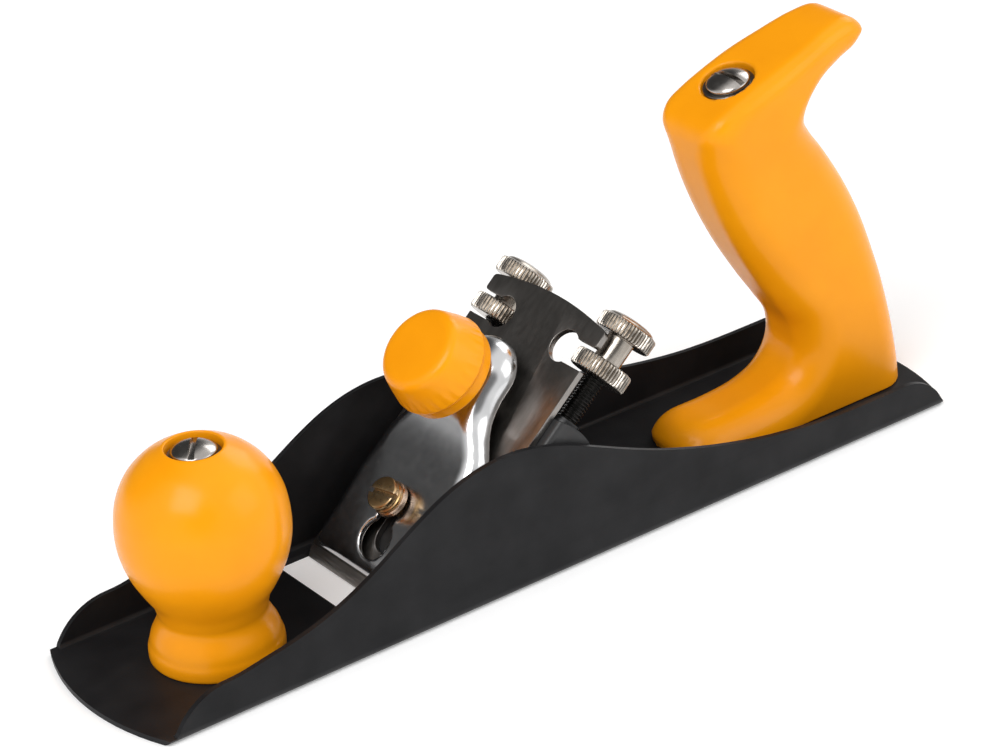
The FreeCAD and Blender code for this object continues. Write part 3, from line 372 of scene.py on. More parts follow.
# ---------------------------------------------------------------------------
# materials
# ---------------------------------------------------------------------------
def surface(name, base, alt, rough=(0.3, 0.4), metallic=0.0, scale=120.0, fine=900.0, bump=0.02, bump_scale=900.0,
            stretch=(1, 1, 1), turn=(0, 0, 0), mix=(0.35, 0.65), edge_wear_and_highlight=None, edge_wear_and_highlight_amount=0.0, spec=0.5, coat=0.0, coat_rough=0.1,
            subsurface=0.0, sss_radius=(1.0, 0.35, 0.1), scratches=0.0, anisotropic=0.0, bump_dist=0.0002):
    m = bpy.data.materials.new(name)
    m.use_nodes = True
    nt = m.node_tree
    nt.nodes.clear()
    out = nt.nodes.new("ShaderNodeOutputMaterial")
    bs = nt.nodes.new("ShaderNodeBsdfPrincipled")
    nt.links.new(bs.outputs["BSDF"], out.inputs["Surface"])
    bs.inputs["Metallic"].default_value = metallic
    bs.inputs["Specular IOR Level"].default_value = spec
    bs.inputs["Coat Weight"].default_value = coat
    bs.inputs["Coat Roughness"].default_value = coat_rough
    bs.inputs["Anisotropic"].default_value = anisotropic
    if subsurface:
        bs.inputs["Subsurface Weight"].default_value = subsurface
        bs.inputs["Subsurface Radius"].default_value = sss_radius
        bs.inputs["Subsurface Scale"].default_value = 0.004
    tc = nt.nodes.new("ShaderNodeTexCoord")
    mp = nt.nodes.new("ShaderNodeMapping")
    mp.inputs["Scale"].default_value = stretch
    mp.inputs["Rotation"].default_value = turn
    nt.links.new(tc.outputs["Object"], mp.inputs["Vector"])
    n1 = nt.nodes.new("ShaderNodeTexNoise")
    n1.inputs["Scale"].default_value = scale
    n1.inputs["Detail"].default_value = 6
    nt.links.new(mp.outputs["Vector"], n1.inputs["Vector"])
    ramp = nt.nodes.new("ShaderNodeValToRGB")
    ramp.color_ramp.elements[0].position = mix[0]
    ramp.color_ramp.elements[0].color = (*base, 1)
    ramp.color_ramp.elements[1].position = mix[1]
    ramp.color_ramp.elements[1].color = (*alt, 1)
    nt.links.new(n1.outputs["Fac"], ramp.inputs["Fac"])
    colour = ramp.outputs["Color"]
    n2 = nt.nodes.new("ShaderNodeTexNoise")
    n2.inputs["Scale"].default_value = fine
    n2.inputs["Detail"].default_value = 4
    nt.links.new(mp.outputs["Vector"], n2.inputs["Vector"])
    rr = nt.nodes.new("ShaderNodeMapRange")
    rr.inputs["From Min"].default_value = 0.3
    rr.inputs["From Max"].default_value = 0.7
    rr.inputs["To Min"].default_value = rough[0]
    rr.inputs["To Max"].default_value = rough[1]
    nt.links.new(n2.outputs["Fac"], rr.inputs["Value"])
    roughness = rr.outputs["Result"]
    # Convex edges (found by pointiness) are blended towards a lighter edge colour. On the black coats this is a
    # painted highlight along the rims; on the other parts it makes the edges lighter.
    if edge_wear_and_highlight is not None and edge_wear_and_highlight_amount > 0:
        geo = nt.nodes.new("ShaderNodeNewGeometry")
        er = nt.nodes.new("ShaderNodeMapRange")
        er.inputs["From Min"].default_value = 0.53
        er.inputs["From Max"].default_value = 0.62
        er.inputs["To Min"].default_value = 0.0
        er.inputs["To Max"].default_value = edge_wear_and_highlight_amount
        nt.links.new(geo.outputs["Pointiness"], er.inputs["Value"])
        mul = nt.nodes.new("ShaderNodeMath")
        mul.operation = "MULTIPLY"
        nt.links.new(er.outputs["Result"], mul.inputs[0])
        nt.links.new(n1.outputs["Fac"], mul.inputs[1])
        mixc = nt.nodes.new("ShaderNodeMix")
        mixc.data_type = "RGBA"
        nt.links.new(mul.outputs["Value"], mixc.inputs["Factor"])
        nt.links.new(colour, mixc.inputs["A"])
        mixc.inputs["B"].default_value = (*edge_wear_and_highlight, 1)
        colour = mixc.outputs["Result"]
    nt.links.new(colour, bs.inputs["Base Color"])
    nt.links.new(roughness, bs.inputs["Roughness"])
    b1 = nt.nodes.new("ShaderNodeTexNoise")
    b1.inputs["Scale"].default_value = bump_scale
    b1.inputs["Detail"].default_value = 3
    nt.links.new(mp.outputs["Vector"], b1.inputs["Vector"])
    bp = nt.nodes.new("ShaderNodeBump")
    bp.inputs["Strength"].default_value = bump
    bp.inputs["Distance"].default_value = bump_dist
    nt.links.new(b1.outputs["Fac"], bp.inputs["Height"])
    nt.links.new(bp.outputs["Normal"], bs.inputs["Normal"])
    return m


BEDTURN = (0, math.asin(SI), 0)
orange = surface("orange_moulding", (0.87, 0.308, 0.003), (0.91, 0.332, 0.004), rough=(0.22, 0.27), scale=60, fine=700, bump=0.002,
                 bump_scale=1300, spec=0.2)
# Both black coats carry a painted highlight: their convex edges are lightened towards a grey edge colour.
black = surface("black_powder_coat", (0.0060, 0.0060, 0.0070), (0.0084, 0.0084, 0.0097), rough=(0.36, 0.44), scale=90, fine=2500, bump=0.12,
                bump_scale=3200, edge_wear_and_highlight=(0.05, 0.05, 0.05), edge_wear_and_highlight_amount=0.5, spec=0.12, bump_dist=0.00008)
black_frog = surface("black_frog_coat", (0.0080, 0.0080, 0.0090), (0.0120, 0.0120, 0.0134), rough=(0.32, 0.42), scale=120, fine=2000, bump=0.12,
                     bump_scale=2800, edge_wear_and_highlight=(0.07, 0.07, 0.07), edge_wear_and_highlight_amount=0.6, spec=0.3, bump_dist=0.00008)
chrome = surface("chrome_plate", (0.62, 0.62, 0.63), (0.68, 0.68, 0.685), rough=(0.15, 0.21), metallic=1.0, scale=200, fine=500, bump=0.02,
                 bump_scale=260, bump_dist=0.0001)
steel = surface("dark_tool_steel", (0.25, 0.233, 0.218), (0.30, 0.281, 0.264), rough=(0.30, 0.37), metallic=1.0, scale=300, fine=800, bump=0.015,
                bump_scale=900, stretch=(0.12, 2.2, 1), turn=BEDTURN, edge_wear_and_highlight=(0.35, 0.34, 0.33), edge_wear_and_highlight_amount=0.5)
ground = surface("ground_bevel", (0.42, 0.40, 0.38), (0.52, 0.50, 0.48), rough=(0.28, 0.40), metallic=1.0, scale=500, fine=1500, bump=0.12,
                 bump_scale=1800, stretch=(2.4, 0.08, 1), turn=BEDTURN)
nickel = surface("nickel_plate", (0.31, 0.278, 0.242), (0.41, 0.372, 0.328), rough=(0.17, 0.27), metallic=1.0, scale=400, fine=1200, bump=0.05,
                 bump_scale=1500, edge_wear_and_highlight=(0.72, 0.67, 0.61), edge_wear_and_highlight_amount=0.5)
blackened = surface("blackened_thread", (0.020, 0.019, 0.018), (0.040, 0.038, 0.036), rough=(0.3, 0.42), metallic=0.85, scale=500, fine=1500,
                    bump=0.08, bump_scale=2200, edge_wear_and_highlight=(0.14, 0.135, 0.13), edge_wear_and_highlight_amount=0.8)
zinc = surface("yellow_zinc", (0.40, 0.245, 0.105), (0.52, 0.35, 0.175), rough=(0.24, 0.36), metallic=1.0, scale=260, fine=900, bump=0.05,
               bump_scale=1500, edge_wear_and_highlight=(0.75, 0.58, 0.42), edge_wear_and_highlight_amount=0.6)
pinkish = surface("copper_zinc", (0.56, 0.40, 0.29), (0.66, 0.50, 0.38), rough=(0.22, 0.34), metallic=1.0, scale=260, fine=900, bump=0.05,
                  bump_scale=1500, edge_wear_and_highlight=(0.8, 0.66, 0.54), edge_wear_and_highlight_amount=0.5)
plain = surface("plain_steel", (0.36, 0.35, 0.335), (0.44, 0.43, 0.41), rough=(0.28, 0.4), metallic=1.0, scale=300, fine=900, bump=0.06,
                bump_scale=1500)
screw = surface("nickel_screw", (0.40, 0.37, 0.345), (0.50, 0.47, 0.44), rough=(0.15, 0.25), metallic=1.0, scale=300, fine=900, bump=0.05,
                bump_scale=1200, edge_wear_and_highlight=(0.7, 0.68, 0.65), edge_wear_and_highlight_amount=0.5)
washer_m = surface("dull_washer", (0.16, 0.15, 0.14), (0.22, 0.21, 0.195), rough=(0.3, 0.42), metallic=1.0, scale=300, fine=900, bump=0.06,
                   bump_scale=1500)

# ---------------------------------------------------------------------------
# channel: the CAD's bent sheet, its edges eased
# ---------------------------------------------------------------------------
GAUGE = 1.3
bevel(nodes["sole_body"], 0.22, 2, 50, bake=False)
nodes["sole_body"].data.shade_smooth()
dress(nodes["sole_body"], black)

# frog: the CAD strip, its edges eased
for n in ("frog",):
    bevel(nodes[n], 0.3, 2, 45, bake=False)
    nodes[n].data.shade_smooth()
    dress(nodes[n], black_frog)
for n in ("frog_rivets", "handle_locating_pin", "front_knob_nut", "rear_handle_bush", "cap_screw_nut", "lever_cap_bush", "clamp_screw"):
    dress(nodes[n], plain)


# ---------------------------------------------------------------------------
# adjusters: threaded studs and knurled nuts
# ---------------------------------------------------------------------------
def threaded(name, r, pitch, z0, z1, place, depth=0.44, n=36, chamfer=0.7, step=None):
    step = step or pitch / 8
    zs = np.arange(z0, z1 + 1e-6, step)
    th = np.linspace(0, 2 * math.pi, n, endpoint=False)
    verts, rows, faces = [], [], []
    rows.append([0])
    verts.append((0, 0, z0))
    for z in zs:
        ph = (z / pitch - th / (2 * math.pi)) % 1.0
        tri = np.abs(ph * 2 - 1)
        prof = np.clip(tri * 1.3 - 0.15, 0, 1)
        rr = r - depth * (1 - prof)
        ease = min(z - z0, z1 - z)
        cap = r - depth * 1.3 + ease * depth * 1.4 / chamfer
        rr = np.minimum(rr, cap)
        rows.append(list(range(len(verts), len(verts) + n)))
        verts += [(a, b, z) for a, b in zip(rr * np.cos(th), rr * np.sin(th))]
    rows.append([len(verts)])
    verts.append((0, 0, z1))
    for a, b in zip(rows[:-1], rows[1:]):
        for k in range(n):
            j = (k + 1) % n
            if len(a) == 1:
                faces.append((a[0], b[j], b[k]))
            elif len(b) == 1:
                faces.append((a[k], a[j], b[0]))
            else:
                faces.append((a[k], a[j], b[j], b[k]))
    return make(name, verts, faces, place, True, 50)


def knurled_nut(name, place):
    R, RN, RB = 7.15, 3.4, 2.56
    z1, z2, z3, z4, z5, zb = 72.4, 76.7, 82.9, 86.8, 88.3, 84.1
    c = 0.55
    prof, mod = [], []

    def add(r, z, k=0.0):
        prof.append((r, z))
        mod.append(k)

    add(RB, zb); add(RB, z1 + 0.3); add(RB + 0.3, z1)
    for r in (4.2, 5.6, 6.4):
        add(r, z1)
    add(R - c, z1 + 0.02, 0.0); add(R - c * 0.45, z1 + 0.16, 0.35)
    add(R, z1 + c, 1.0)
    add(R, (z1 + z2) / 2, 1.0)
    add(R, z2 - c, 1.0); add(R - c * 0.45, z2 - 0.16, 0.35); add(R - c, z2 - 0.02, 0.0)
    for r in (6.2, 5.0, 4.0, RN + 0.25):
        add(r, z2)
    add(RN + 0.05, z2 + 0.08); add(RN, z2 + 0.3); add(RN, z3 - 0.3); add(RN + 0.05, z3 - 0.08)
    for r in (RN + 0.25, 4.0, 5.0, 6.2):
        add(r, z3)
    add(R - c, z3 + 0.02, 0.0); add(R - c * 0.45, z3 + 0.16, 0.35)
    add(R, z3 + c, 1.0); add(R, (z3 + z4) / 2, 1.0); add(R, z4 - c, 1.0)
    add(R - c * 0.45, z4 - 0.16, 0.35); add(R - c, z4 - 0.02, 0.0)
    add(R - 0.9, z4 + 0.03)
    for a in np.linspace(8, 90, 9):
        add(max((R - 1.1) * math.cos(math.radians(a)), 0.0), z4 + 0.05 + (z5 - z4 - 0.05) * math.sin(math.radians(a)) ** 0.9)
    prof[-1] = (0.0, z5)
    teeth = 50
    n = teeth * 6

    def wob(th, i, r, z):
        t = np.abs(((th * teeth / (2 * math.pi)) % 1.0) * 2 - 1)
        t = np.clip(t * 1.75 - 0.15, 0, 1)
        return r - mod[i] * 0.46 * (1 - t)

    prof2 = [(0.0, zb)] + prof
    mod.insert(0, 0.0)
    return spun(name, prof2, n, place, wob, 40)


for word, y in (("right", -19.5), ("left", 19.5)):
    place = shifted(ALONG, -7.0, y, 0)
    piece(threaded("stud_" + word, 2.5, 0.8, 55.6, 81.0, place), "root", "adjuster_stud_" + word, blackened)
    piece(knurled_nut("nut_" + word, place), "nut_" + word, "adjuster_nut_" + word, nickel)

# ---------------------------------------------------------------------------
# plane iron
# ---------------------------------------------------------------------------


def flat_plate(name, loops, thick, ease, place, z_top):
    cu = bpy.data.curves.new(name, "CURVE")
    cu.dimensions = "2D"
    cu.fill_mode = "BOTH"
    for loop in loops:
        sp = cu.splines.new("POLY")
        sp.points.add(len(loop) - 1)
        for p, (x, y) in zip(sp.points, loop):
            p.co = (x * MM, y * MM, 0, 1)
        sp.use_cyclic_u = True
    cu.extrude = (thick / 2 - ease) * MM
    cu.bevel_depth = ease * MM
    cu.bevel_resolution = 2
    cu.offset = -ease * MM
    tmp = bpy.data.objects.new(name + "_tmp", cu)
    bpy.context.scene.collection.objects.link(tmp)
    dg = bpy.context.evaluated_depsgraph_get()
    me = bpy.data.meshes.new_from_object(tmp.evaluated_get(dg))
    bpy.data.objects.remove(tmp)
    me.name = name
    ob = bpy.data.objects.new(name, me)
    bpy.context.scene.collection.objects.link(ob)
    bm = bmesh.new()
    bm.from_mesh(me)
    bmesh.ops.remove_doubles(bm, verts=bm.verts, dist=0.004 * MM)
    bmesh.ops.translate(bm, verts=bm.verts, vec=(0, 0, (z_top - thick / 2) * MM))
    bmesh.ops.recalc_face_normals(bm, faces=bm.faces)
    bm.to_mesh(me)
    bm.free()
    return ob


def iron():
    lo = 12 + math.sqrt(4.1 ** 2 - 3.4 ** 2)
    hi = 12 + math.sqrt(4.1 ** 2 - 3.0 ** 2)
    w = 21.25
    a_lo = math.degrees(math.atan2(-lo + 12, 71.1 - 74.5))
    a_hi = math.degrees(math.atan2(-hi + 12, 77.5 - 74.5))
    # right side notch: from the low mouth corner round through y = -7.9 to the high one
    low = arc(74.5, -12, 4.1, a_lo % 360, a_hi % 360 - 360 if False else (a_hi % 360) - 360, 26)
    R = 95.3
    cx = 84.1 - R
    half = math.degrees(math.asin((w - 0.9) / R))
    arch = arc(cx, 0, R, -half, half, 30)
    right = [(2.07, -w), (71.1, -w)] + low + [(77.5, -w + 0.9)] + arc(78.4, -w + 0.9, 0.9, 180, 270, 5)[1:]
    corner = arc(80.9, -w + 0.9, 0.9, 270, 350, 5)
    pts = right + corner + arch
    pts += [(x, -y) for x, y in reversed(corner)] + [(x, -y) for x, y in reversed(right)]
    clean = [pts[0]]
    for p in pts[1:]:
        if math.dist(p, clean[-1]) > 0.02:
            clean.append(p)
    slot = arc(36.0, 0, 4.6, -90, 90, 20) + arc(16.5, 0, 4.6, 90, 270, 20)
    ob = flat_plate("iron_plate", [clean, slot], 1.6, 0.14, None, 0.0)
    bm = bmesh.new()
    bm.from_mesh(ob.data)
    run = 3.2
    no = Vector((-1.6, 0, run)).normalized()
    res = bmesh.ops.bisect_plane(bm, geom=bm.verts[:] + bm.edges[:] + bm.faces[:], dist=1e-7, plane_co=Vector((2.07, 0, -1.6)) * MM,
                                 plane_no=no, clear_outer=True)
    edges = [e for e in res["geom_cut"] if isinstance(e, bmesh.types.BMEdge)]
    made = bmesh.ops.contextual_create(bm, geom=edges)
    bmesh.ops.triangulate(bm, faces=[f for f in bm.faces if len(f.verts) > 4])
    bmesh.ops.recalc_face_normals(bm, faces=bm.faces)
    for f in bm.faces:
        if f.normal.dot(no) > 0.995:
            f.material_index = 1
    bm.to_mesh(ob.data)
    bm.free()
    ob.data.transform(BED)
    shade(ob, True, 30)
    return ob


piece(iron(), "iron", "plane_iron", [steel, ground])

# ---------------------------------------------------------------------------
# lever cap: pressed chrome dish
# ---------------------------------------------------------------------------
CAP_T = np.array([(5.6, 1.45), (8.0, 2.65), (11.5, 3.6), (17.0, 4.35), (23.5, 4.95), (30.0, 5.5), (37.5, 6.3), (42.0, 7.15), (45.5, 8.25),
                  (49.5, 9.75), (52.5, 10.65), (55.5, 11.1), (59.0, 11.2), (75.0, 11.2)])
CAP_PLAN = [(7.6, 19.0), (15.0, 18.8), (24.0, 18.5), (33.0, 18.15), (37.5, 17.75), (41.0, 16.4), (44.0, 14.35), (47.5, 11.95),
            (51.0, 10.35), (55.0, 9.75), (58.8, 9.7)]
_side = curve_through(CAP_PLAN, 14)
_half = [(5.6, 0.0)] + arc(7.6, 17.0, 2.0, 180, 90, 10)[:-1] + [tuple(p) for p in _side]
_tip = arc(58.8, 0, 9.7, 90, -90, 160)[1:-1]
CAP_LINE = np.array(_half + _tip + [(x, -y) for x, y in reversed(_half) if y > 0.01])
_ts = np.linspace(5.0, 75.0, 2801)
_tt = curve_through(CAP_T, 60)
_tv = np.interp(_ts, _tt[:, 0], _tt[:, 1])
_tv[_ts < 5.6] = CAP_T[0, 1] + (_ts[_ts < 5.6] - 5.6) * 0.5
KEY = np.array(arc(23.4, 0, 3.0, -90, 90, 24) + arc(14.0, 0, 5.0, 37, 323, 64))


def cap_low(s):
    return np.interp(s, [5.6, 25.0, 33.0, 42.5, 49.0, 55.0, 62.0, 68.5], [0.15, 0.35, 0.8, 1.7, 2.9, 3.7, 3.9, 4.6])


def cap_sdf(p):
    s, y, h = p[:, 0], p[:, 1], p[:, 2]
    near = (np.abs(y) < 22) & (s > 3) & (s < 72)
    out = np.full(len(p), 5.0)
    if not near.any():
        return out
    s, y, h = s[near], y[near], h[near]
    key = np.round(s * 100).astype(np.int64) * 100000 + np.round(y * 100).astype(np.int64)
    _, first, back = np.unique(key, return_index=True, return_inverse=True)
    if len(first) < len(s) * 0.5:
        d = outline_distance(s[first], y[first], CAP_LINE)[back]
        k = outline_distance(s[first], y[first], KEY)[back]
    else:
        d = outline_distance(s, y, CAP_LINE)
        k = outline_distance(s, y, KEY)
    T = np.interp(s, _ts, _tv)
    slope = (np.interp(s + 0.3, _ts, _tv) - np.interp(s - 0.3, _ts, _tv)) / 0.6
    R = 1.2 + 2.3 * smoothstep((s - 6.0) / 9.0) + 1.3 * smoothstep((s - 26) / 10.0) + 2.0 * smoothstep((s - 43) / 10.0)
    a = (h - T) / np.sqrt(1 + slope ** 2)
    outer = rounded(a, d, R)
    shell = np.maximum(outer, -(outer + 1.5))
    low = cap_low(s) - h
    shell = rounded(shell, low, 0.3)
    shell = rounded(shell, -k, 0.45)
    bush = 4.0 - np.hypot(s - 54.6, y)
    shell = np.maximum(shell, bush)
    out[near] = shell
    return out


cap = implicit("lever_cap_dish", cap_sdf, (4.8, -20.2, -0.6), (69.6, 20.2, 12.4), 0.36, BED, soften=1)
piece(cap, "cap", "lever_cap", chrome)

# ---------------------------------------------------------------------------
# clamp knob
# ---------------------------------------------------------------------------


def clamp_knob():
    z0, z1 = 13.3, 26.3
    foot = [(0.0, z0 + 1.0), (3.3, z0 + 1.0), (9.0, z0 + 1.0), (10.1, z0 + 0.8), (10.5, z0 + 0.3), (10.9, z0)]
    skirt = [(11.3, z0 + 0.02), (11.6, z0 + 0.12), (11.8, z0 + 0.4), (11.85, z0 + 0.9), (11.82, z0 + 1.9), (11.75, z0 + 2.8)]
    groove = [(11.6, z0 + 3.1), (11.5, z0 + 3.3), (11.6, z0 + 3.5)]
    rim = [(12.1, z0 + 3.62), (12.45, z0 + 3.82), (12.6, z0 + 4.15), (12.58, z0 + 4.6)]
    side = [(12.35, z0 + 5.7), (11.9, z0 + 7.2), (11.4, z0 + 8.8), (10.95, z0 + 10.2), (10.65, z0 + 11.1)]
    face = [(10.35, z0 + 11.75), (9.9, z0 + 12.3), (9.3, z0 + 12.7), (8.6, z0 + 12.92), (7.9, z1), (5.0, z1 - 0.02), (2.5, z1 - 0.04)]
    pr = [tuple(q) for q in curve_through(skirt + groove + rim + side + face, 4)]
    prof = foot + pr + [(0.0, z1 - 0.04)]
    flutes = 30

    def wob(th, i, r, z):
        k = smoothstep((z - z0 - 3.9) / 0.8) * (1 - smoothstep((z - z0 - 5.5) / 3.5))
        c = np.cos(th * flutes)
        return r - 0.16 * k * (0.5 - 0.5 * c)

    return spun("clamp_knob_moulding", prof, 240, shifted(BED, 54.6, 0, 0), wob, 60)


piece(clamp_knob(), "clamp", "clamp_knob", orange)


# ---------------------------------------------------------------------------
# screws and washers
# ---------------------------------------------------------------------------
def slotted(name, prof, place, slot_w, slot_z, turn, n=72, ease=0.12):
    m = place @ Matrix.Rotation(math.radians(turn), 4, "Z")
    ob = spun(name, prof, n, m)
    tool = block(name + "_tool", (-slot_w / 2, -12, slot_z), (slot_w / 2, 12, slot_z + 8), m)
    cut(ob, tool)
    return bevel(ob, ease, 2, 40, sharp=40)


cap_place = shifted(BED, 23.4, 0, 0)
prof = [(0, -10.8), (2.0, -10.8), (2.5, -10.3), (2.5, 7.3), (4.05, 7.3), (4.1, 7.5), (4.1, 8.15), (3.75, 8.35), (3.75, 8.75), (4.1, 8.95), (4.1, 9.95),
        (3.95, 10.2), (3.7, 10.3), (0, 10.3)]
piece(slotted("cap_screw_head", prof, cap_place, 1.25, 8.9, 9.8, ease=0.08), "root", "cap_screw", zinc)
prof = [(2.65, 5.8), (4.2, 5.8), (4.45, 6.05), (4.45, 7.05), (4.2, 7.3), (2.65, 7.3)]
piece(spun("cap_screw_collar", prof, 64, cap_place), "root", "cap_screw_washer", pinkish)


def dome_screw(name, node, place, base, low, turn):
    r, hgt = 5.3, 2.7
    seat = base + 0.8
    prof = [(0, low), (2.0, low), (2.5, low + 0.5), (2.5, seat), (5.1, seat), (5.3, seat + 0.2), (5.3, seat + 0.75)]
    Rs = (r * r + (hgt - 0.9) ** 2) / (2 * (hgt - 0.9))
    for t in np.linspace(1, 0, 12):
        rr = 5.2 * t
        prof.append((rr, seat + hgt - Rs + math.sqrt(Rs * Rs - rr * rr)))
    ob = slotted(name, prof, place, 1.4, seat + hgt - 1.6, turn, 96, 0.1)
    return piece(ob, "root", node, screw)


def flat_washer(name, node, place, base, r):
    prof = [(2.7, base), (r - 0.15, base), (r, base + 0.15), (r, base + 0.65), (r - 0.15, base + 0.8), (2.7, base + 0.8)]
    return piece(spun(name, prof, 72, place), "root", node, washer_m)


BX = -83.2
knob_place = Matrix.Translation(Vector((BX * MM, 0, 0)))
dome_screw("front_screw", "front_knob_screw", knob_place, 50.8, 1.7, -39.6)
flat_washer("front_washer", "front_knob_washer", knob_place, 50.8, 6.2)
TILT = math.radians(13.5)
GX, GZ = 69.9, 92.5
grip_len = (GZ - GAUGE) / math.cos(TILT)
foot = Vector((GX + grip_len * math.sin(TILT), 0, GAUGE)) * MM
grip_place = Matrix.Translation(foot) @ Matrix.Rotation(-TILT, 4, "Y")
grip_base = grip_len - 2.0
dome_screw("handle_screw", "rear_handle_screw", grip_place, grip_base, 1.6, 6.8)
flat_washer("handle_washer", "rear_handle_washer", grip_place, grip_base, 6.3)

# ---------------------------------------------------------------------------
# front knob
# ---------------------------------------------------------------------------
BALL = [(12.5, 12.3), (13.4, 15.6), (15.6, 19.4), (18.0, 24.2), (19.5, 29.6), (19.75, 34.5), (18.9, 40.5), (16.4, 46.0), (12.2, 50.4), (7.6, 53.1)]


def front_knob():
    prof = [(5.0, 1.3), (15.0, 1.3), (15.35, 1.4), (15.55, 1.65), (15.6, 2.1), (15.6, 3.2), (15.5, 4.1), (15.3, 4.7), (15.14, 5.1), (15.02, 5.5), (14.9, 6.1),
            (14.5, 7.3), (13.7, 8.8), (13.0, 10.2), (12.6, 11.3)]
    prof += [tuple(p) for p in curve_through(BALL, 8)]
    prof += [(7.2, 53.28), (6.9, 53.35), (6.7, 53.25), (6.6, 53.0), (6.6, 50.8), (2.8, 50.8), (2.8, 6.4), (5.0, 6.4)]
    return spun("front_knob_moulding", prof, 160, knob_place, None, 50)


piece(front_knob(), "root", "front_knob", orange)

# ---------------------------------------------------------------------------
# rear handle
# ---------------------------------------------------------------------------
GRIP = [(43.6, 1.3), (43.0, 3.8), (44.2, 6.3), (47.8, 8.3), (54.0, 9.1), (63.5, 9.2), (73.0, 10.2), (79.4, 12.8), (82.8, 17.8), (82.5, 24.3),
        (78.6, 31.0), (73.8, 38.3), (67.3, 49.3), (62.0, 60.5), (58.5, 70.2), (56.4, 78.9), (56.2, 83.6), (58.8, 87.4), (64.0, 90.1),
        (73.0, 93.5), (85.7, 97.3), (96.1, 100.1), (102.1, 100.3), (106.0, 96.7), (103.0, 92.9), (97.4, 90.8), (91.2, 87.9), (87.9, 84.3),
        (87.0, 80.2), (89.0, 75.7), (93.3, 69.3), (98.7, 60.1), (103.3, 50.2), (106.4, 41.4), (109.5, 31.1), (112.1, 19.7), (113.9, 8.0),
        (114.4, 1.3)]
_g = curve_through(GRIP, 8)
GRIP_LINE = np.vstack([[(43.9, -12.0)], _g, [(114.8, -12.0)]])
_axis = np.array([-math.sin(TILT), 0, math.cos(TILT)])
_foot = np.array(foot) / MM


def grip_sdf(p):
    x, y, z = p[:, 0], p[:, 1], p[:, 2]
    key = np.round(x * 100).astype(np.int64) * 100000 + np.round(z * 100).astype(np.int64)
    _, first, back = np.unique(key, return_index=True, return_inverse=True)
    if len(first) < len(x) * 0.5:
        d = outline_distance(x[first], z[first], GRIP_LINE)[back]
    else:
        d = outline_distance(x, z, GRIP_LINE)
    high = smoothstep((z - 76.0) / 14.0)
    half = 12.0 - 2.9 * high * smoothstep((x - 76.0) / 30.0)
    r = 9.0 - 4.8 * high
    plan = np.hypot(np.minimum(x - 55.0, 0), y) - half
    body = rounded(d, plan, r)
    body = np.maximum(body, GAUGE - z)
    rel = p - _foot
    up = rel @ _axis
    rad = np.linalg.norm(rel - up[:, None] * _axis, axis=1)
    recess = np.maximum(rad - 6.62, grip_base - up)
    return rounded(body, -recess, 0.5)


grip = implicit("rear_handle_moulding", grip_sdf, (41.2, -13.2, 0.5), (117.0, 13.2, 102.2), 0.7, None, soften=1)
piece(grip, "root", "rear_handle", orange)

# ---------------------------------------------------------------------------
# studio
# ---------------------------------------------------------------------------


def studio():
    n = 24
    size = 3.0
    verts, faces = [], []
    for i in range(n + 1):
        for j in range(n + 1):
            verts.append((-size / 2 + size * i / n, -size / 2 + size * j / n, 0.0))
    for i in range(n):
        for j in range(n):
            a = i * (n + 1) + j
            faces.append((a, a + n + 1, a + n + 2, a + 1))
    floor = make("floor", [(x / MM, y / MM, -0.02) for x, y, z in verts], faces)
    fm = surface("pale_floor", (0.86, 0.86, 0.86), (0.89, 0.89, 0.89), rough=(0.55, 0.65), scale=8, fine=60, bump=0.02, bump_scale=200, spec=0.2)
    for node in fm.node_tree.nodes:
        if node.type == "BSDF_PRINCIPLED":
            node.inputs["Emission Color"].default_value = (1, 1, 1, 1)
            node.inputs["Emission Strength"].default_value = 0.2
    floor.data.materials.append(fm)


studio()
CAM_R = Vector((0.803148719, -0.591569308, -0.070695747))
CAM_U = Vector((0.3274498, 0.33917361, 0.881894489))
CAM_D = Vector((0.497723581, 0.731441738, -0.466116102))
cam = bpy.data.cameras.new("view")
cam.lens = 141.34734
cam.sensor_width = 36.0
cam.clip_start = 0.05
cam.clip_end = 20
co = bpy.data.objects.new("view", cam)
co.matrix_world = Matrix(((CAM_R.x, CAM_U.x, -CAM_D.x, -0.451842854), (CAM_R.y, CAM_U.y, -CAM_D.y, -0.662888304),
                          (CAM_R.z, CAM_U.z, -CAM_D.z, 0.462728706), (0, 0, 0, 1)))
bpy.context.scene.collection.objects.link(co)
bpy.context.scene.camera = co


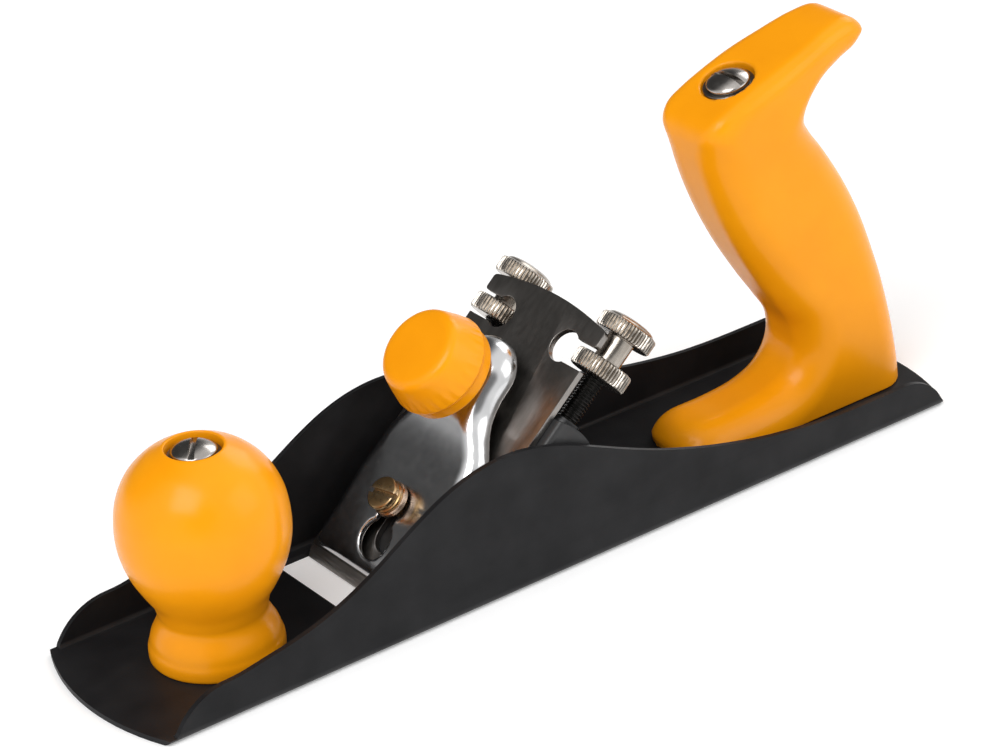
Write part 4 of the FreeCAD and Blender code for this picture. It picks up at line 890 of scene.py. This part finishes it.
def area(name, at, aim, size, power, colour=(1, 1, 1), shape_y=None):
    li = bpy.data.lights.new(name, "AREA")
    li.energy = power
    li.color = colour
    li.size = size
    if shape_y:
        li.shape = "RECTANGLE"
        li.size_y = shape_y
    o = bpy.data.objects.new(name, li)
    o.location = at
    o.rotation_euler = (Vector(aim) - Vector(at)).to_track_quat("-Z", "Y").to_euler()
    bpy.context.scene.collection.objects.link(o)
    return o


area("key", (-0.9, -0.5, 1.3), (0, 0, 0.03), 0.9, 13)
area("fill", (0.9, -1.1, 0.8), (0, 0, 0.04), 1.0, 4)
area("back", (1.5, 0.5, 1.1), (0, 0, 0.04), 0.9, 6)
world = bpy.data.worlds.new("studio")
world.use_nodes = True
bg = world.node_tree.nodes["Background"]
bg.inputs["Color"].default_value = (1, 1, 1, 1)
# the studio is white all round but for one dark corner high behind the bench
wt = world.node_tree
wc = wt.nodes.new("ShaderNodeTexCoord")
dot = wt.nodes.new("ShaderNodeVectorMath")
dot.operation = "DOT_PRODUCT"
wt.links.new(wc.outputs["Generated"], dot.inputs[0])
dot.inputs[1].default_value = Vector((-0.02, 0.80, 0.56)).normalized()
fall = wt.nodes.new("ShaderNodeMapRange")
fall.interpolation_type = "SMOOTHSTEP"
fall.inputs["From Min"].default_value = math.cos(math.radians(30))
fall.inputs["From Max"].default_value = math.cos(math.radians(58))
fall.inputs["To Min"].default_value = 0.07
fall.inputs["To Max"].default_value = 0.95
wt.links.new(dot.outputs["Value"], fall.inputs["Value"])
face = wt.nodes.new("ShaderNodeVectorMath")
face.operation = "DOT_PRODUCT"
wt.links.new(wc.outputs["Generated"], face.inputs[0])
face.inputs[1].default_value = Vector((-0.469, -0.739, 0.484)).normalized()
front = wt.nodes.new("ShaderNodeMapRange")
front.interpolation_type = "SMOOTHSTEP"
front.inputs["From Min"].default_value = math.cos(math.radians(12))
front.inputs["From Max"].default_value = math.cos(math.radians(30))
front.inputs["To Min"].default_value = 0.22
front.inputs["To Max"].default_value = 1.0
wt.links.new(face.outputs["Value"], front.inputs["Value"])
both = wt.nodes.new("ShaderNodeMath")
both.operation = "MULTIPLY"
wt.links.new(fall.outputs["Result"], both.inputs[0])
wt.links.new(front.outputs["Result"], both.inputs[1])
wt.links.new(both.outputs["Value"], bg.inputs["Strength"])
bpy.context.scene.world = world
bpy.context.scene.view_settings.view_transform = "Standard"
